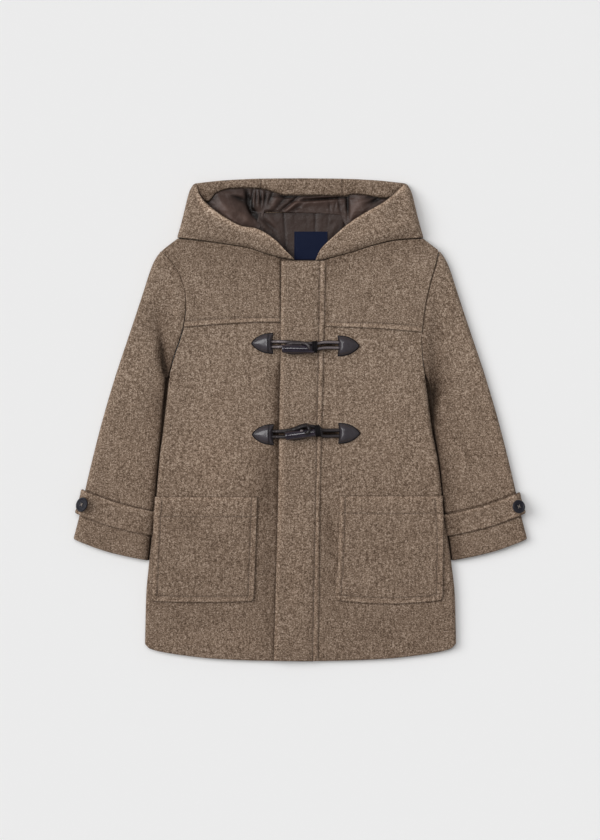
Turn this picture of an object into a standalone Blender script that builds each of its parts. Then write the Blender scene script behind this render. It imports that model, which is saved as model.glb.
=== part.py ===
"""A child's hooded duffle coat of wool melton, laid on its back with its sleeves beside it.

+X runs to the wearer's left, +Y to the hood, +Z up from the surface that the back lies on.
The tables and sizes are in millimetres; solid() turns them to metres."""

import math

import bmesh
import bpy
import numpy as np

MM = 0.001

# Cloth walls and the clear space kept between pieces
LINED_WALL = 4.5  # melton with its wadded lining: back, fronts and sleeves
WOOL_WALL = 2.6  # melton alone: hood and its facing
LINING_WALL = 2.2  # quilted lining of the hood, where it shows by itself
NECK_LINING_WALL = 1.8
YOKE_WALL = 2.2
PLACKET_WALL = 4.0  # two layers of melton
POCKET_WALL = 2.8
TAB_WALL = 2.2
LABEL_WALL = 0.6
LAID = 0.35  # under thin pieces that lie on the back's inner side
SEAM = 0.5  # between two pieces that meet edge to edge
NECK_SEAM = 0.9
OVERLAY = 0.6  # between a panel and what lies on it

# The coat lying flat
BODY_HEIGHT = 12.3  # back wall, a little air and front wall
ROLL = BODY_HEIGHT / 2  # radius of the turn at the side seams and shoulders
MIDDLE = BODY_HEIGHT / 2
CUFF_HEIGHT = 11.4
ROLL_ANGLES = (0, 30, 60, 90)  # degrees from level to the side seam

NECK_POINT_Y = 235.5
SHOULDER_END_Y = 219.7
ARMPIT_Y = 57.0
HEM_CORNER_Y = -291.2
ARMHOLE_LEVELS = (213.0, 190.0, 165.0, 140.0, 115.0, 90.0, 64.0)

# Half widths of the body, down its edge
BODY_EDGE = (  # y, wearer's right, wearer's left
    (NECK_POINT_Y, 160.0, 160.0),
    (SHOULDER_END_Y, 180.0, 180.0),
    (200.0, 162.5, 175.5),
    (182.0, 153.5, 170.0),
    (165.0, 149.0, 166.0),
    (148.0, 148.6, 162.6),
    (126.0, 151.0, 159.6),
    (105.0, 156.5, 157.8),
    (85.0, 163.5, 158.8),
    (ARMPIT_Y, 170.5, 162.8),
    (25.0, 174.3, 167.0),
    (-10.0, 178.5, 171.8),
    (-45.0, 183.0, 178.5),
    (-80.0, 186.0, 183.0),
    (-115.0, 188.8, 185.8),
    (-150.0, 193.3, 192.0),
    (-185.0, 197.0, 196.8),
    (-225.0, 200.4, 200.8),
    (HEM_CORNER_Y, 202.0, 202.6),
)
HEM = (  # half width, y
    (0.0, -313.3),
    (60.0, -312.2),
    (110.0, -310.0),
    (148.0, -306.0),
    (180.0, -301.0),
    (196.0, -296.5),
    (202.6, HEM_CORNER_Y),
)
FRONT_NECK = (  # half width, y at the wearer's right, y at the wearer's left
    (0.0, 206.5, 206.0),
    (23.0, 210.6, 207.5),
    (45.0, 217.2, 214.0),
    (66.0, 224.3, 219.8),
    (94.0, 229.2, 228.5),
    (128.0, 233.4, 235.2),
    (160.0, NECK_POINT_Y, NECK_POINT_Y),
)
BACK_NECK = (  # half width, y
    (0.0, 268.5),
    (45.0, 267.0),
    (85.0, 260.5),
    (125.0, 249.0),
    (160.0, NECK_POINT_Y),
)
SIDE_LEVELS = (25.0, -10.0, -45.0, -80.0, -115.0, -150.0, -185.0, -220.0, -255.0, -280.0)
AIR = (  # y, space between the front and the back
    (236.0, 3.3),
    (60.0, 3.3),
    (-150.0, 3.3),
    (-260.0, 2.6),
    (-313.0, 1.4),
)
FRONT_FOLDS = (  # x, y, half width, half length, height
    (-44.0, -210.0, 14.0, 60.0, -1.1),
    (42.0, -175.0, 13.0, 80.0, -1.1),
    (-105.0, 20.0, 45.0, 70.0, 0.4),
    (98.0, 30.0, 45.0, 70.0, 0.4),
    (-150.0, -262.0, 26.0, 18.0, -0.7),
    (128.0, -268.0, 30.0, 16.0, -0.7),
)

# Placket and pockets, on the fronts
PLACKET_EDGES = (  # y, free edge, topstitching, seam edge
    (206.5, -25.1, 25.2, 33.4),
    (99.0, -26.1, 23.8, 31.0),
    (26.0, -27.6, 22.2, 29.3),
    (-103.0, -29.9, 20.0, 26.0),
    (-210.0, -32.6, 17.7, 25.0),
    (-312.5, -35.5, 15.9, 23.3),
)
PLACKET_LEVELS = (206.5, 185, 150, 122, 80, 40, 0, -40, -80, -120, -160, -200, -240, -280, -312.5)
UNDER_PLACKET = 7.0  # from the placket's seam edge to where the two fronts meet below it
YOKE_LINE = (  # half width, y at the wearer's right, y at the wearer's left
    (20.0, 127.2, 123.0),
    (50.0, 127.0, 121.4),
    (100.0, 124.6, 119.4),
    (160.0, 119.8, 114.6),
)
POCKETS = (  # side, row y, inner x, outer x
    (-1, -99.5, 55.0, 187.8),
    (-1, -170.0, 57.2, 191.0),
    (-1, -237.4, 59.6, 193.6),
    (1, -98.8, 51.0, 182.6),
    (1, -170.0, 48.5, 187.2),
    (1, -236.0, 46.0, 185.5),
)
POCKET_LEVELS = 8
POCKET_FOOT_DROP = 3.0  # the lower edge hangs in a shallow curve

# Sleeves
SLEEVE_OUTER = (  # x, y along the outer fold from the shoulder to the cuff
    (180.5, SHOULDER_END_Y),
    (188.5, 208.5),
    (195.5, 192.0),
    (204.5, 164.0),
    (220.0, 117.0),
    (241.0, 54.0),
    (259.0, -8.0),
    (274.5, -70.0),
    (286.0, -121.0),
    (294.6, -154.5),
)
SLEEVE_STAND = (  # y, distance of the sleeve's inner fold from the body
    (ARMPIT_Y, SEAM),
    (46.0, 5.0),
    (28.0, 4.4),
    (5.0, 3.2),
    (-20.0, 1.6),
    (-45.0, 0.8),
    (-182.5, 0.9),
)
CUFF_HEM = ((294.6, -154.5), (278.0, -161.5), (253.0, -170.3), (225.0, -177.3), (198.2, -182.5))
SLEEVE_STEPS = (0, 12, 31, 47.5, 64, 92, 128, 168, 212, 258, 304, 348, 378)  # from the hem
TAB_STEPS = (31, 47.5, 64)  # the cuff tab's edges and middle, from the hem

# Hood
HOOD_TOP = ((0.0, 313.3), (45.0, 313.0), (94.0, 311.0), (137.0, 306.5))  # half width, y
HOOD_FOLD = (  # share of the way from the face edge to the neck, half width, y, height
    (0.0, 140.5, 305.0, 11.0),
    (0.14, 144.6, 296.4, 15.5),
    (0.43, 149.4, 275.6, 21.5),
    (0.72, 154.6, 254.8, 21.0),
    (1.0, 160.0, NECK_POINT_Y + NECK_SEAM, 15.0),
)
CENTRE_PANEL = (-51.0, 55.0)  # x of the two seams of the hood's middle panel
FACE_EDGE = {  # half width, y, from the top corner to the centre front
    -1: ((133.5, 301.5), (128.0, 287.5), (117.7, 277.6), (98.3, 264.7), (76.7, 253.6), (57.3, 250.0),
         (42.3, 242.6), (29.3, 232.3), (18.6, 219.8), (9.0, 210.6)),
    1: ((134.0, 301.5), (110.9, 285.0), (80.7, 269.6), (59.2, 256.1), (41.9, 240.9), (26.8, 225.4),
        (20.6, 211.5)),
}
HOOD_TIP = {-1: (7.7, 207.4), 1: (19.5, 207.4)}  # half width and y where the hood ends at the front
FLAP_CREST = (  # share of the way from the fold to the centre front, height over the neck seam
    (0.0, 8.0),
    (0.25, 8.0),
    (0.6, 5.0),
    (1.0, 0.6),
)
FACING_DEPTH = 15.5
LINING_FOOT = (  # x, y along the lower edge of the hood's lining
    (-118.0, 276.0),
    (-106.0, 259.0),
    (-88.0, 246.0),
    (-72.0, 242.0),
    (-58.0, 256.0),
    (-46.0, 269.6),
    (0.0, 270.4),
    (48.0, 269.6),
    (62.0, 252.0),
    (78.0, 257.0),
    (98.0, 268.0),
    (116.0, 281.0),
)
LINING_FOLDS = (  # x, y, direction in degrees, half width, half length, height
    (-92.0, 268.0, 125.0, 15.0, 26.0, 3.6),
    (-56.0, 286.0, 60.0, 5.0, 16.0, 2.2),
    (-40.0, 284.0, 80.0, 5.0, 14.0, 1.8),
    (28.0, 287.0, 8.0, 4.0, 34.0, 2.0),
    (92.0, 282.0, 40.0, 12.0, 22.0, 2.4),
)
NECK_LINING_ROWS = (  # y, x at the wearer's right, x at the wearer's left
    (266.5, -47.0, 49.0),
    (256.0, -56.0, 57.0),
    (248.0, -63.0, 60.0),
    (240.0, -60.0, 58.0),
    (228.0, -48.0, 48.0),
    (216.0, -34.0, 40.0),
    (205.0, -26.0, 32.0),
)
LABEL = (-7.8, 35.4, 244.6, 208.0)  # x from, x to, y from, y to

# Fastenings: leather tabs, toggles and their cords
LEATHER_LENGTH = 29.0
LEATHER_HALF = 13.6
LEATHER_WALL = 3.0
CORD = 3.4
CORD_SPREAD = 2.8  # half the space between the two runs of a doubled cord
TOGGLE_LENGTH = 45.0
TOGGLE_RADIUS = 5.4
TOGGLE_ROWS = (  # row, right tab back x, y, left tab back x, y, toggle x, y, lean in degrees
    (1, -35.0, 99.2, 48.0, 96.2, -1.2, 94.6, -1.5),
    (2, -34.0, -18.9, 49.2, -17.0, 1.8, -16.6, 8.5),
)
BUTTON_RADIUS = 9.0
BUTTON_WALL = 3.2
BUTTON_LEAN = 27.0  # degrees, where the cuff tab turns over the sleeve's fold

COLOURS = {  # name: base colour, roughness
    "wool": ((0.21, 0.152, 0.113), 0.95),
    "lining": ((0.05, 0.036, 0.031), 0.6),
    "label": ((0.012, 0.02, 0.06), 0.7),
    "leather": ((0.02, 0.017, 0.019), 0.35),
    "horn": ((0.018, 0.013, 0.018), 0.2),
    "cord": ((0.016, 0.013, 0.013), 0.6),
    "button": ((0.014, 0.014, 0.018), 0.4),
}


def clear_scene():
    for obj in list(bpy.data.objects):
        bpy.data.objects.remove(obj)


def material(name):
    found = bpy.data.materials.get(name)
    if found:
        return found
    colour, roughness = COLOURS[name]
    made = bpy.data.materials.new(name)
    made.use_nodes = True
    shader = made.node_tree.nodes["Principled BSDF"]
    shader.inputs["Base Color"].default_value = (*colour, 1)
    shader.inputs["Roughness"].default_value = roughness
    shader.inputs["Metallic"].default_value = 0
    return made


def solid(name, points, faces, finish):
    """One object from points in millimetres, with its faces turned outwards."""
    mesh = bpy.data.meshes.new(name)
    mesh.from_pydata([tuple(p) for p in np.asarray(points) * MM], [], faces)
    work = bmesh.new()
    work.from_mesh(mesh)
    bmesh.ops.recalc_face_normals(work, faces=work.faces)
    work.to_mesh(mesh)
    work.free()
    mesh.materials.append(material(finish))
    mesh.shade_smooth()
    obj = bpy.data.objects.new(name, mesh)
    bpy.context.collection.objects.link(obj)
    return obj


def wall(name, outer, inner, finish, tube=False):
    """A closed wall between two grids of points, rows by columns. A tube's columns run round and meet."""
    rows, columns = outer.shape[:2]
    spans = columns if tube else columns - 1
    count = rows * columns

    def index(layer, row, column):
        return layer * count + row * columns + column % columns

    faces = []
    for layer in (0, 1):
        for row in range(rows - 1):
            for column in range(spans):
                corners = [
                    index(layer, row, column),
                    index(layer, row, column + 1),
                    index(layer, row + 1, column + 1),
                    index(layer, row + 1, column),
                ]
                faces.append(corners if layer == 0 else corners[::-1])
    edge = [((0, column), (0, column + 1)) for column in range(spans)]
    edge += [((rows - 1, column), (rows - 1, column + 1)) for column in range(spans)]
    if not tube:
        edge += [((row, 0), (row + 1, 0)) for row in range(rows - 1)]
        edge += [((row, columns - 1), (row + 1, columns - 1)) for row in range(rows - 1)]
    for start, end in edge:
        faces.append([index(0, *start), index(1, *start), index(1, *end), index(0, *end)])
    points = np.concatenate([outer.reshape(-1, 3), inner.reshape(-1, 3)])
    return solid(name, points, faces, finish)


def between(table, at, column=1):
    """A column of a table read at any place of its first column, in a smooth curve without overshoot."""
    data = np.array(sorted(table), float)
    x, y = data[:, 0], data[:, column]
    step = np.diff(x)
    slope = np.diff(y) / step
    tangent = np.zeros(len(x))
    tangent[0], tangent[-1] = slope[0], slope[-1]
    for i in range(1, len(x) - 1):
        if slope[i - 1] * slope[i] > 0:
            tangent[i] = 2 * slope[i - 1] * slope[i] / (slope[i - 1] + slope[i])
    at = np.clip(np.asarray(at, float), x[0], x[-1])
    i = np.clip(np.searchsorted(x, at, side="right") - 1, 0, len(x) - 2)
    t = (at - x[i]) / step[i]
    return (
        (2 * t**3 - 3 * t**2 + 1) * y[i]
        + (t**3 - 2 * t**2 + t) * step[i] * tangent[i]
        + (3 * t**2 - 2 * t**3) * y[i + 1]
        + (t**3 - t**2) * step[i] * tangent[i + 1]
    )


def fine(points, steps=16):
    """A smooth curve through the points, as many short straight steps."""
    p = np.asarray(points, float)
    before = np.vstack([2 * p[0] - p[1], p[:-1]])
    after = np.vstack([p[1:], 2 * p[-1] - p[-2]])
    tangent = (after - before) / 2
    t = np.linspace(0, 1, steps, endpoint=False)[:, None]
    spans = [
        (2 * t**3 - 3 * t**2 + 1) * p[i]
        + (t**3 - 2 * t**2 + t) * tangent[i]
        + (3 * t**2 - 2 * t**3) * p[i + 1]
        + (t**3 - t**2) * tangent[i + 1]
        for i in range(len(p) - 1)
    ]
    return np.vstack([*spans, p[-1:]])


def lengths(line):
    return np.concatenate([[0], np.cumsum(np.linalg.norm(np.diff(line, axis=0), axis=1))])


def along(line, distance):
    """The point of a line of points at a distance from its start."""
    run = lengths(line)
    return np.array([np.interp(distance, run, line[:, axis]) for axis in range(line.shape[1])]).T


def soft_bump(x, y, row):
    centre_x, centre_y, half_width, half_length, height = row
    return height * np.exp(-(((x - centre_x) / half_width) ** 2) - ((y - centre_y) / half_length) ** 2)


# Body: the back and the two fronts


def body_edge(side, y):
    """Half width of the body. The shoulder is a straight line, and the rest a smooth curve."""
    column = 1 if side < 0 else 2
    shoulder = [row[:3] for row in BODY_EDGE[:2]]
    if y >= SHOULDER_END_Y:
        return float(between(shoulder, y, column))
    return float(between(BODY_EDGE[1:], y, column))


def front_height(x, y):
    """Outer surface of the fronts, away from their rolled edges."""
    return 2 * LINED_WALL + between(AIR, y) + sum(soft_bump(x, y, row) for row in FRONT_FOLDS)


def rolled(y):
    """The edge turns down to a seam at the shoulder and the side, and runs level into the armhole."""
    return not ARMPIT_Y < y < SHOULDER_END_Y


def front_surface(side, x, y):
    """A point of the fronts' outer surface, and the direction that faces out of it."""
    inset = min(max(body_edge(side, y) - abs(x), 0), ROLL)
    sine = (ROLL - inset) / ROLL if rolled(y) else 0
    cosine = math.sqrt(1 - sine * sine)
    top = front_height(x, y)
    height = top - (top - MIDDLE - SEAM / 2) * (1 - cosine)
    return np.array([x, y, height]), np.array([side * sine, 0, cosine])


def body_levels():
    return (NECK_POINT_Y, SHOULDER_END_Y, *ARMHOLE_LEVELS, ARMPIT_Y, *SIDE_LEVELS, HEM_CORNER_Y)


def row_height(half_width, edge_level, neck, column):
    """Height of a row, named by where it meets the body's edge, at some half width."""
    top = float(between(neck, half_width, column))
    foot = float(between(HEM, half_width))
    share = (NECK_POINT_Y - edge_level) / (NECK_POINT_Y - HEM_CORNER_Y)
    return top + (foot - top) * share


def edge_height(half_width, level):
    """Height of a row's points at the rolled edge: level, but for the hem's rounded corner."""
    return float(between(HEM, half_width)) if level == HEM_CORNER_Y else level


def meeting_line(y):
    """Where the two fronts meet, hidden below the placket."""
    return float(between([(row[0], row[3]) for row in PLACKET_EDGES], y)) - UNDER_PLACKET


def make_front(side):
    """One front, from the line below the placket to the side seam."""
    neck_column = 1 if side < 0 else 2
    shares = np.linspace(0, 1, 10)
    outer, inner = [], []
    for level in body_levels():
        edge = body_edge(side, level)
        flat_end = edge - ROLL
        places = [(share, None) for share in shares]
        places += [(1, angle) for angle in ROLL_ANGLES[1:]]
        for share, angle in places:
            start = side * (meeting_line(level) + side * SEAM)
            if angle is None:
                half = start + (flat_end - start) * share
                y = row_height(max(half, 0), level, FRONT_NECK, neck_column)
            else:
                half = flat_end + ROLL * math.sin(math.radians(angle))
            if share == 1:
                y = edge_height(half, level)
            if level == NECK_POINT_Y:
                y -= SEAM
            sine = math.sin(math.radians(angle or 0)) if rolled(level) else 0
            cosine = math.sqrt(1 - sine * sine)
            top = front_height(side * half, y)
            z = top - (top - MIDDLE - SEAM / 2) * (1 - cosine)
            outer.append((side * half, y, z))
            inner.append((side * (half - LINED_WALL * sine), y, z - LINED_WALL * cosine))
    shape = (len(body_levels()), len(shares) + len(ROLL_ANGLES) - 1, 3)
    name = "front_right" if side < 0 else "front_left"
    wall(name, np.reshape(outer, shape), np.reshape(inner, shape), "wool")


def make_back():
    """The back, flat on the surface, its edges turned up to the seams."""
    shares = np.linspace(-1, 1, 11)
    outer, inner = [], []
    for level in body_levels():
        places = [(-1, angle) for angle in ROLL_ANGLES[:0:-1]]
        places += [(share, 0) for share in shares]
        places += [(1, angle) for angle in ROLL_ANGLES[1:]]
        for share, angle in places:
            side = -1 if share < 0 else 1
            flat_end = body_edge(side, level) - ROLL
            sine = math.sin(math.radians(angle)) if rolled(level) else 0
            cosine = math.sqrt(1 - sine * sine)
            half = flat_end * abs(share) + ROLL * math.sin(math.radians(angle))
            y = row_height(half, level, BACK_NECK, 1)
            if abs(share) == 1:
                y = edge_height(half, level)
            z = (MIDDLE - SEAM / 2) * (1 - cosine)
            outer.append((side * half, y, z))
            inner.append((side * (half - LINED_WALL * sine), y, z + LINED_WALL * cosine))
    shape = (len(body_levels()), len(shares) + 2 * len(ROLL_ANGLES) - 2, 3)
    wall("back", np.reshape(outer, shape), np.reshape(inner, shape), "wool")


# What lies on the fronts


def overlay(name, side, places, thickness, finish):
    """A piece that lies on a front: its points are the front's, moved out. thickness may be a function of the column."""
    outer, inner = [], []
    for row in places:
        for column, (x, y) in enumerate(row):
            point, facing = front_surface(side, x, y)
            depth = thickness(column) if callable(thickness) else thickness
            inner.append(point + facing * OVERLAY)
            outer.append(point + facing * (OVERLAY + depth))
    shape = (len(places), len(places[0]), 3)
    wall(name, np.reshape(outer, shape), np.reshape(inner, shape), finish)


def make_yoke(side):
    """The doubled shoulder piece, from the neck and the shoulder to its topstitched lower edge."""
    column = 1 if side < 0 else 2
    edge_gap = 1.0
    places = []
    for share in (0, 0.14, 0.3, 0.5, 0.75, 1):
        row = []
        outer_y = NECK_POINT_Y + (float(between(YOKE_LINE, 156, column)) - NECK_POINT_Y) * share
        edge = body_edge(side, outer_y)
        reach = edge - (ROLL * (1 - math.sin(math.radians(60))) if rolled(outer_y) else edge_gap)
        placket = abs(float(between(PLACKET_EDGES, 170, 1 if side < 0 else 3)))
        start = placket + edge_gap
        for place in (*np.linspace(0, 0.86, 8), 0.93, 0.965, 1):
            half = start + (reach - start) * place
            top = float(between(FRONT_NECK, half, column)) - NECK_SEAM
            foot = float(between(YOKE_LINE, half, column))
            row.append((side * half, top + (foot - top) * share))
        places.append(row)
    overlay("yoke_right" if side < 0 else "yoke_left", side, places, YOKE_WALL, "wool")


def make_placket():
    """The doubled band over the front opening. Its seam edge is thinner than its free edge."""
    spread = (0, 0.04, 0.5, 1)
    depths = (PLACKET_WALL - 0.8, PLACKET_WALL, PLACKET_WALL, PLACKET_WALL - 0.8, PLACKET_WALL - 1.4)
    places = []
    for y in PLACKET_LEVELS:
        free, stitched, seam = (float(between(PLACKET_EDGES, y, column)) for column in (1, 2, 3))
        places.append([(free + (stitched - free) * share, y) for share in spread] + [(seam, y)])
    overlay("placket", 1, places, lambda column: depths[column], "wool")


def make_pocket(side):
    """A patch pocket. Its outer edge may reach over the rolled side."""
    rows = [row[1:] for row in POCKETS if row[0] == side]
    top, foot = rows[0][0], rows[-1][0]
    near_edge = (5.0, 2.2, 0.0)
    least_inset = 1.1
    places = []
    for share in np.linspace(0, 1, POCKET_LEVELS):
        y = top + (foot - top) * share
        inside = float(between(rows, y, 1))
        outside = min(float(between(rows, y, 2)), body_edge(side, y) - least_inset)
        halves = [*np.linspace(inside, outside - near_edge[0], 7)]
        halves += [outside - gap for gap in near_edge[1:]]
        middle = (inside + outside) / 2
        row = []
        for half in halves:
            hang = 1 - ((half - middle) / (outside - middle)) ** 2
            row.append((side * half, y - POCKET_FOOT_DROP * share * max(hang, 0)))
        places.append(row)
    overlay("pocket_right" if side < 0 else "pocket_left", side, places, POCKET_WALL, "wool")


# Sleeves


def sleeve_edges(side):
    """The outer and the inner fold of a sleeve, each from the cuff up to the armhole."""
    outer = fine(SLEEVE_OUTER)[::-1]
    levels = np.linspace(CUFF_HEM[-1][1], ARMPIT_Y, 60)
    inner = np.array([(body_edge(side, y) + float(between(SLEEVE_STAND, y)), y) for y in levels])
    return outer, inner


def armhole_line(side):
    levels = (SHOULDER_END_Y, *ARMHOLE_LEVELS, ARMPIT_Y)
    return np.array([(body_edge(side, y) + SEAM, y) for y in levels])


def ring_plan(side, step):
    """The line across a sleeve, from its outer to its inner fold, at a distance from the hem."""
    outer, inner = sleeve_edges(side)
    outer_length, inner_length = lengths(outer)[-1], lengths(inner)[-1]
    level_part = TAB_STEPS[-1]
    inner_step = step
    if step > level_part:
        share = (step - level_part) / (outer_length - level_part)
        inner_step = level_part + share * (inner_length - level_part)
    share_up = step / outer_length
    start, end = along(outer, step), along(inner, inner_step)
    armhole = armhole_line(side)
    cuff = fine(CUFF_HEM)
    across = lengths(armhole) / lengths(armhole)[-1]
    line = []
    for place, at_armhole in zip(across, armhole):
        straight = start + (end - start) * place
        bow_armhole = at_armhole - (armhole[0] + (armhole[-1] - armhole[0]) * place)
        at_cuff = along(cuff, place * lengths(cuff)[-1])
        bow_cuff = at_cuff - (cuff[0] + (cuff[-1] - cuff[0]) * place)
        line.append(straight + bow_armhole * share_up**2 + bow_cuff * (1 - share_up))
    return np.array(line), outer, inner


def edge_reach(line, edge, at):
    """How far along a ring's line a roll reaches, longer where the line meets the fold at a slant."""
    across = line[1] - line[0]
    near = along(edge, at + 1) - along(edge, at - 1)
    sine = abs(across[0] * near[1] - across[1] * near[0])
    sine /= np.linalg.norm(across) * np.linalg.norm(near)
    return ROLL / max(sine, 0.6)


def sleeve_ring(side, step):
    """Points round a sleeve: plan place, the direction out of the cloth, and height."""
    line, outer, inner = ring_plan(side, step)
    outer_length, inner_length = lengths(outer)[-1], lengths(inner)[-1]
    share_up = min(step / outer_length, 1)
    height = CUFF_HEIGHT + (BODY_HEIGHT - CUFF_HEIGHT) * share_up
    total = lengths(line)[-1]
    if share_up > 0.999:
        reaches = (lengths(line)[1], total - lengths(line)[-2])
    else:
        reaches = (
            edge_reach(line, outer, step),
            edge_reach(line[::-1], inner, share_up * inner_length),
        )
    flats = (lengths(line)[1:-1] - lengths(line)[1]) / (lengths(line)[-2] - lengths(line)[1])
    stations = []  # distance along the line, lean towards the fold (-1 outer, 1 inner)
    for angle in ROLL_ANGLES[::-1]:
        stations.append((reaches[0] * (1 - math.sin(math.radians(angle))), -math.radians(angle)))
    for share in flats[1:-1]:
        stations.append((reaches[0] + (total - reaches[0] - reaches[1]) * share, 0.0))
    for angle in ROLL_ANGLES:
        stations.append((total - reaches[1] * (1 - math.sin(math.radians(angle))), math.radians(angle)))
    tops, unders = [], []
    for distance, lean in stations:
        place = along(line, distance)
        ahead = along(line, min(distance + 1, total)) - along(line, max(distance - 1, 0))
        ahead /= np.linalg.norm(ahead)
        sine, cosine = math.sin(lean), math.cos(lean)
        rise = height / 2 * cosine
        facing = np.array([ahead[0] * sine, ahead[1] * sine, cosine])
        tops.append((np.array([*place, height / 2 + rise]), facing))
        unders.append((np.array([*place, height / 2 - rise]), facing * (1, 1, -1)))
    ring = tops + unders[-2:0:-1]
    return [(point * (side, 1, 1), facing * (side, 1, 1)) for point, facing in ring]


def sleeve_steps(side):
    return (*SLEEVE_STEPS, lengths(sleeve_edges(side)[0])[-1])


def make_sleeve(side):
    """A tube lying flat, open at the cuff and at the armhole."""
    rings = [sleeve_ring(side, step) for step in sleeve_steps(side)]
    outer = np.array([[point for point, _ in ring] for ring in rings])
    inner = np.array([[point - facing * LINED_WALL for point, facing in ring] for ring in rings])
    wall("sleeve_right" if side < 0 else "sleeve_left", outer, inner, "wool", tube=True)


def make_cuff_tab(side):
    """A strap across the cuff, from the inner fold over the top and round the outer fold."""
    past_fold = 1  # points of the ring past the outer fold
    reach = 2 * len(ROLL_ANGLES) + len(ARMHOLE_LEVELS) - 4  # points over the top
    outer, inner = [], []
    for step in TAB_STEPS:
        ring = sleeve_ring(side, step)
        order = [*range(-past_fold, 0), *range(reach)]
        for number in order:
            point, facing = ring[number]
            inner.append(point + facing * OVERLAY)
            outer.append(point + facing * (OVERLAY + TAB_WALL))
    shape = (len(TAB_STEPS), reach + past_fold, 3)
    name = "cuff_tab_right" if side < 0 else "cuff_tab_left"
    wall(name, np.reshape(outer, shape), np.reshape(inner, shape), "wool")


def make_button(side):
    """A turned cuff button with a raised rim, leaning where the tab turns over the fold."""
    profile = (  # radius, height
        (0.0, 0.0),
        (BUTTON_RADIUS * 0.8, 0.0),
        (BUTTON_RADIUS, 1.2),
        (BUTTON_RADIUS * 0.96, BUTTON_WALL - 0.4),
        (BUTTON_RADIUS * 0.84, BUTTON_WALL),
        (BUTTON_RADIUS * 0.66, BUTTON_WALL - 0.9),
        (0.0, BUTTON_WALL - 1.2),
    )
    line, outer, _ = ring_plan(side, TAB_STEPS[1])
    ahead = (line[0] - line[1]) / np.linalg.norm(line[0] - line[1])
    lean = math.radians(BUTTON_LEAN)
    reach = ROLL + OVERLAY + TAB_WALL + OVERLAY
    centre = line[0] - ahead * edge_reach(line, outer, TAB_STEPS[1]) + ahead * reach * math.sin(lean)
    base = np.array([*centre, CUFF_HEIGHT / 2 + reach * math.cos(lean)])
    up = np.array([ahead[0] * math.sin(lean), ahead[1] * math.sin(lean), math.cos(lean)])
    first = np.array([ahead[0] * math.cos(lean), ahead[1] * math.cos(lean), -math.sin(lean)])
    turned_part(
        "cuff_button_right" if side < 0 else "cuff_button_left",
        profile, base * (side, 1, 1), up * (side, 1, 1), first * (side, 1, 1), 20, "button",
    )


def turned_part(name, profile, base, up, first, sides, finish):
    """A turned solid. Its profile runs from one end of the axis to the other."""
    second = np.cross(up, first)
    points = [base + up * profile[0][1]]
    for radius, height in profile[1:-1]:
        for turn in np.arange(sides) * math.tau / sides:
            points.append(base + up * height + radius * (first * math.cos(turn) + second * math.sin(turn)))
    points.append(base + up * profile[-1][1])
    rings = len(profile) - 2
    last = len(points) - 1
    faces = []
    for i in range(sides):
        after = (i + 1) % sides
        faces.append([0, 1 + i, 1 + after])
        faces.append([last, last - sides + after, last - sides + i])
        for ring in range(rings - 1):
            low, high = 1 + ring * sides, 1 + (ring + 1) * sides
            faces.append([low + i, low + after, high + after, high + i])
    return solid(name, points, faces, finish)


# Hood


def hood_fold(share):
    """Half width, y and height of the hood where its side folds over."""
    return tuple(float(between(HOOD_FOLD, share, column)) for column in (1, 2, 3))


def neck_line(side):
    """The neck seam on the fronts, from the neck point to the centre front."""
    column = 1 if side < 0 else 2
    halves = np.linspace(160 - ROLL, HOOD_TIP[side][0], 12)
    return np.array([(half, float(between(FRONT_NECK, half, column)) + 0.2) for half in halves])


def flap_height(place, share, fold_height):
    """Outer height of the hood's upper leaf: place runs from the fold to the centre front, share to the neck."""
    seam = HOOD_FOLD[-1][3]
    swell = math.sin(math.pi * (0.28 + 0.72 * share)) ** 0.8 if share < 1 else 0
    crest = seam + float(between(FLAP_CREST, place)) * swell
    lift = min(place / 0.22, 1)
    lift = lift * lift * (3 - 2 * lift)
    return fold_height * (1 - lift) + crest * lift


def make_hood_side(side):
    """One side of the hood: its under leaf from the middle panel, the fold, and the leaf over the top."""
    shares = (0, 0.12, 0.3, 0.5, 0.72, 0.88, 1)
    under_places = np.linspace(0, 1, 5)
    angles = (30, 60, 90, 120, 150)
    over_places = (0, 0.06, 0.14, 0.24, 0.36, 0.48, 0.6, 0.7, 0.8, 0.9, 1)
    seam_x = abs(CENTRE_PANEL[0] if side < 0 else CENTRE_PANEL[1]) + SEAM
    face = fine(FACE_EDGE[side])
    neck = neck_line(side)
    outer, inner = [], []
    for share in shares:
        fold_x, fold_y, fold_height = hood_fold(share)
        radius = fold_height / 2
        turn = fold_x - radius
        face_length, neck_length = lengths(face)[-1], lengths(neck)[-1]
        for place in under_places:
            half = seam_x + (turn - seam_x) * place
            top = float(between(HOOD_TOP, half))
            foot = float(between(BACK_NECK, half)) + NECK_SEAM
            y = top + (foot - top) * share
            y = fold_y if place == 1 else y
            outer.append((half, y, 0))
            inner.append((half, y, WOOL_WALL))
        for angle in angles:
            sine, cosine = math.sin(math.radians(angle)), -math.cos(math.radians(angle))
            outer.append((turn + radius * sine, fold_y, radius + radius * cosine))
            thin = radius - WOOL_WALL
            inner.append((turn + thin * sine, fold_y, radius + thin * cosine))
        corner = (1 - share) * face[0] + share * neck[0]
        for place in over_places:
            on_face = along(face, place * face_length)
            on_neck = along(neck, place * neck_length)
            point = (1 - share) * on_face + share * on_neck
            point = point + (1 - place) ** 3 * (np.array([turn, fold_y]) - corner)
            height = flap_height(place, share, fold_height)
            outer.append((*point, height))
            inner.append((*point, height - WOOL_WALL))
    shape = (len(shares), len(under_places) + len(angles) + len(over_places), 3)
    flip = np.array([side, 1, 1])
    name = "hood_side_right" if side < 0 else "hood_side_left"
    wall(name, np.reshape(outer, shape) * flip, np.reshape(inner, shape) * flip, "wool")


def level_sheet(name, places, low, thickness, finish):
    """A sheet over a grid of plan places, its underside at the heights that low(x, y) gives."""
    inner = np.array([[(x, y, low(x, y)) for x, y in row] for row in places])
    wall(name, inner + (0, 0, thickness), inner, finish)


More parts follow.
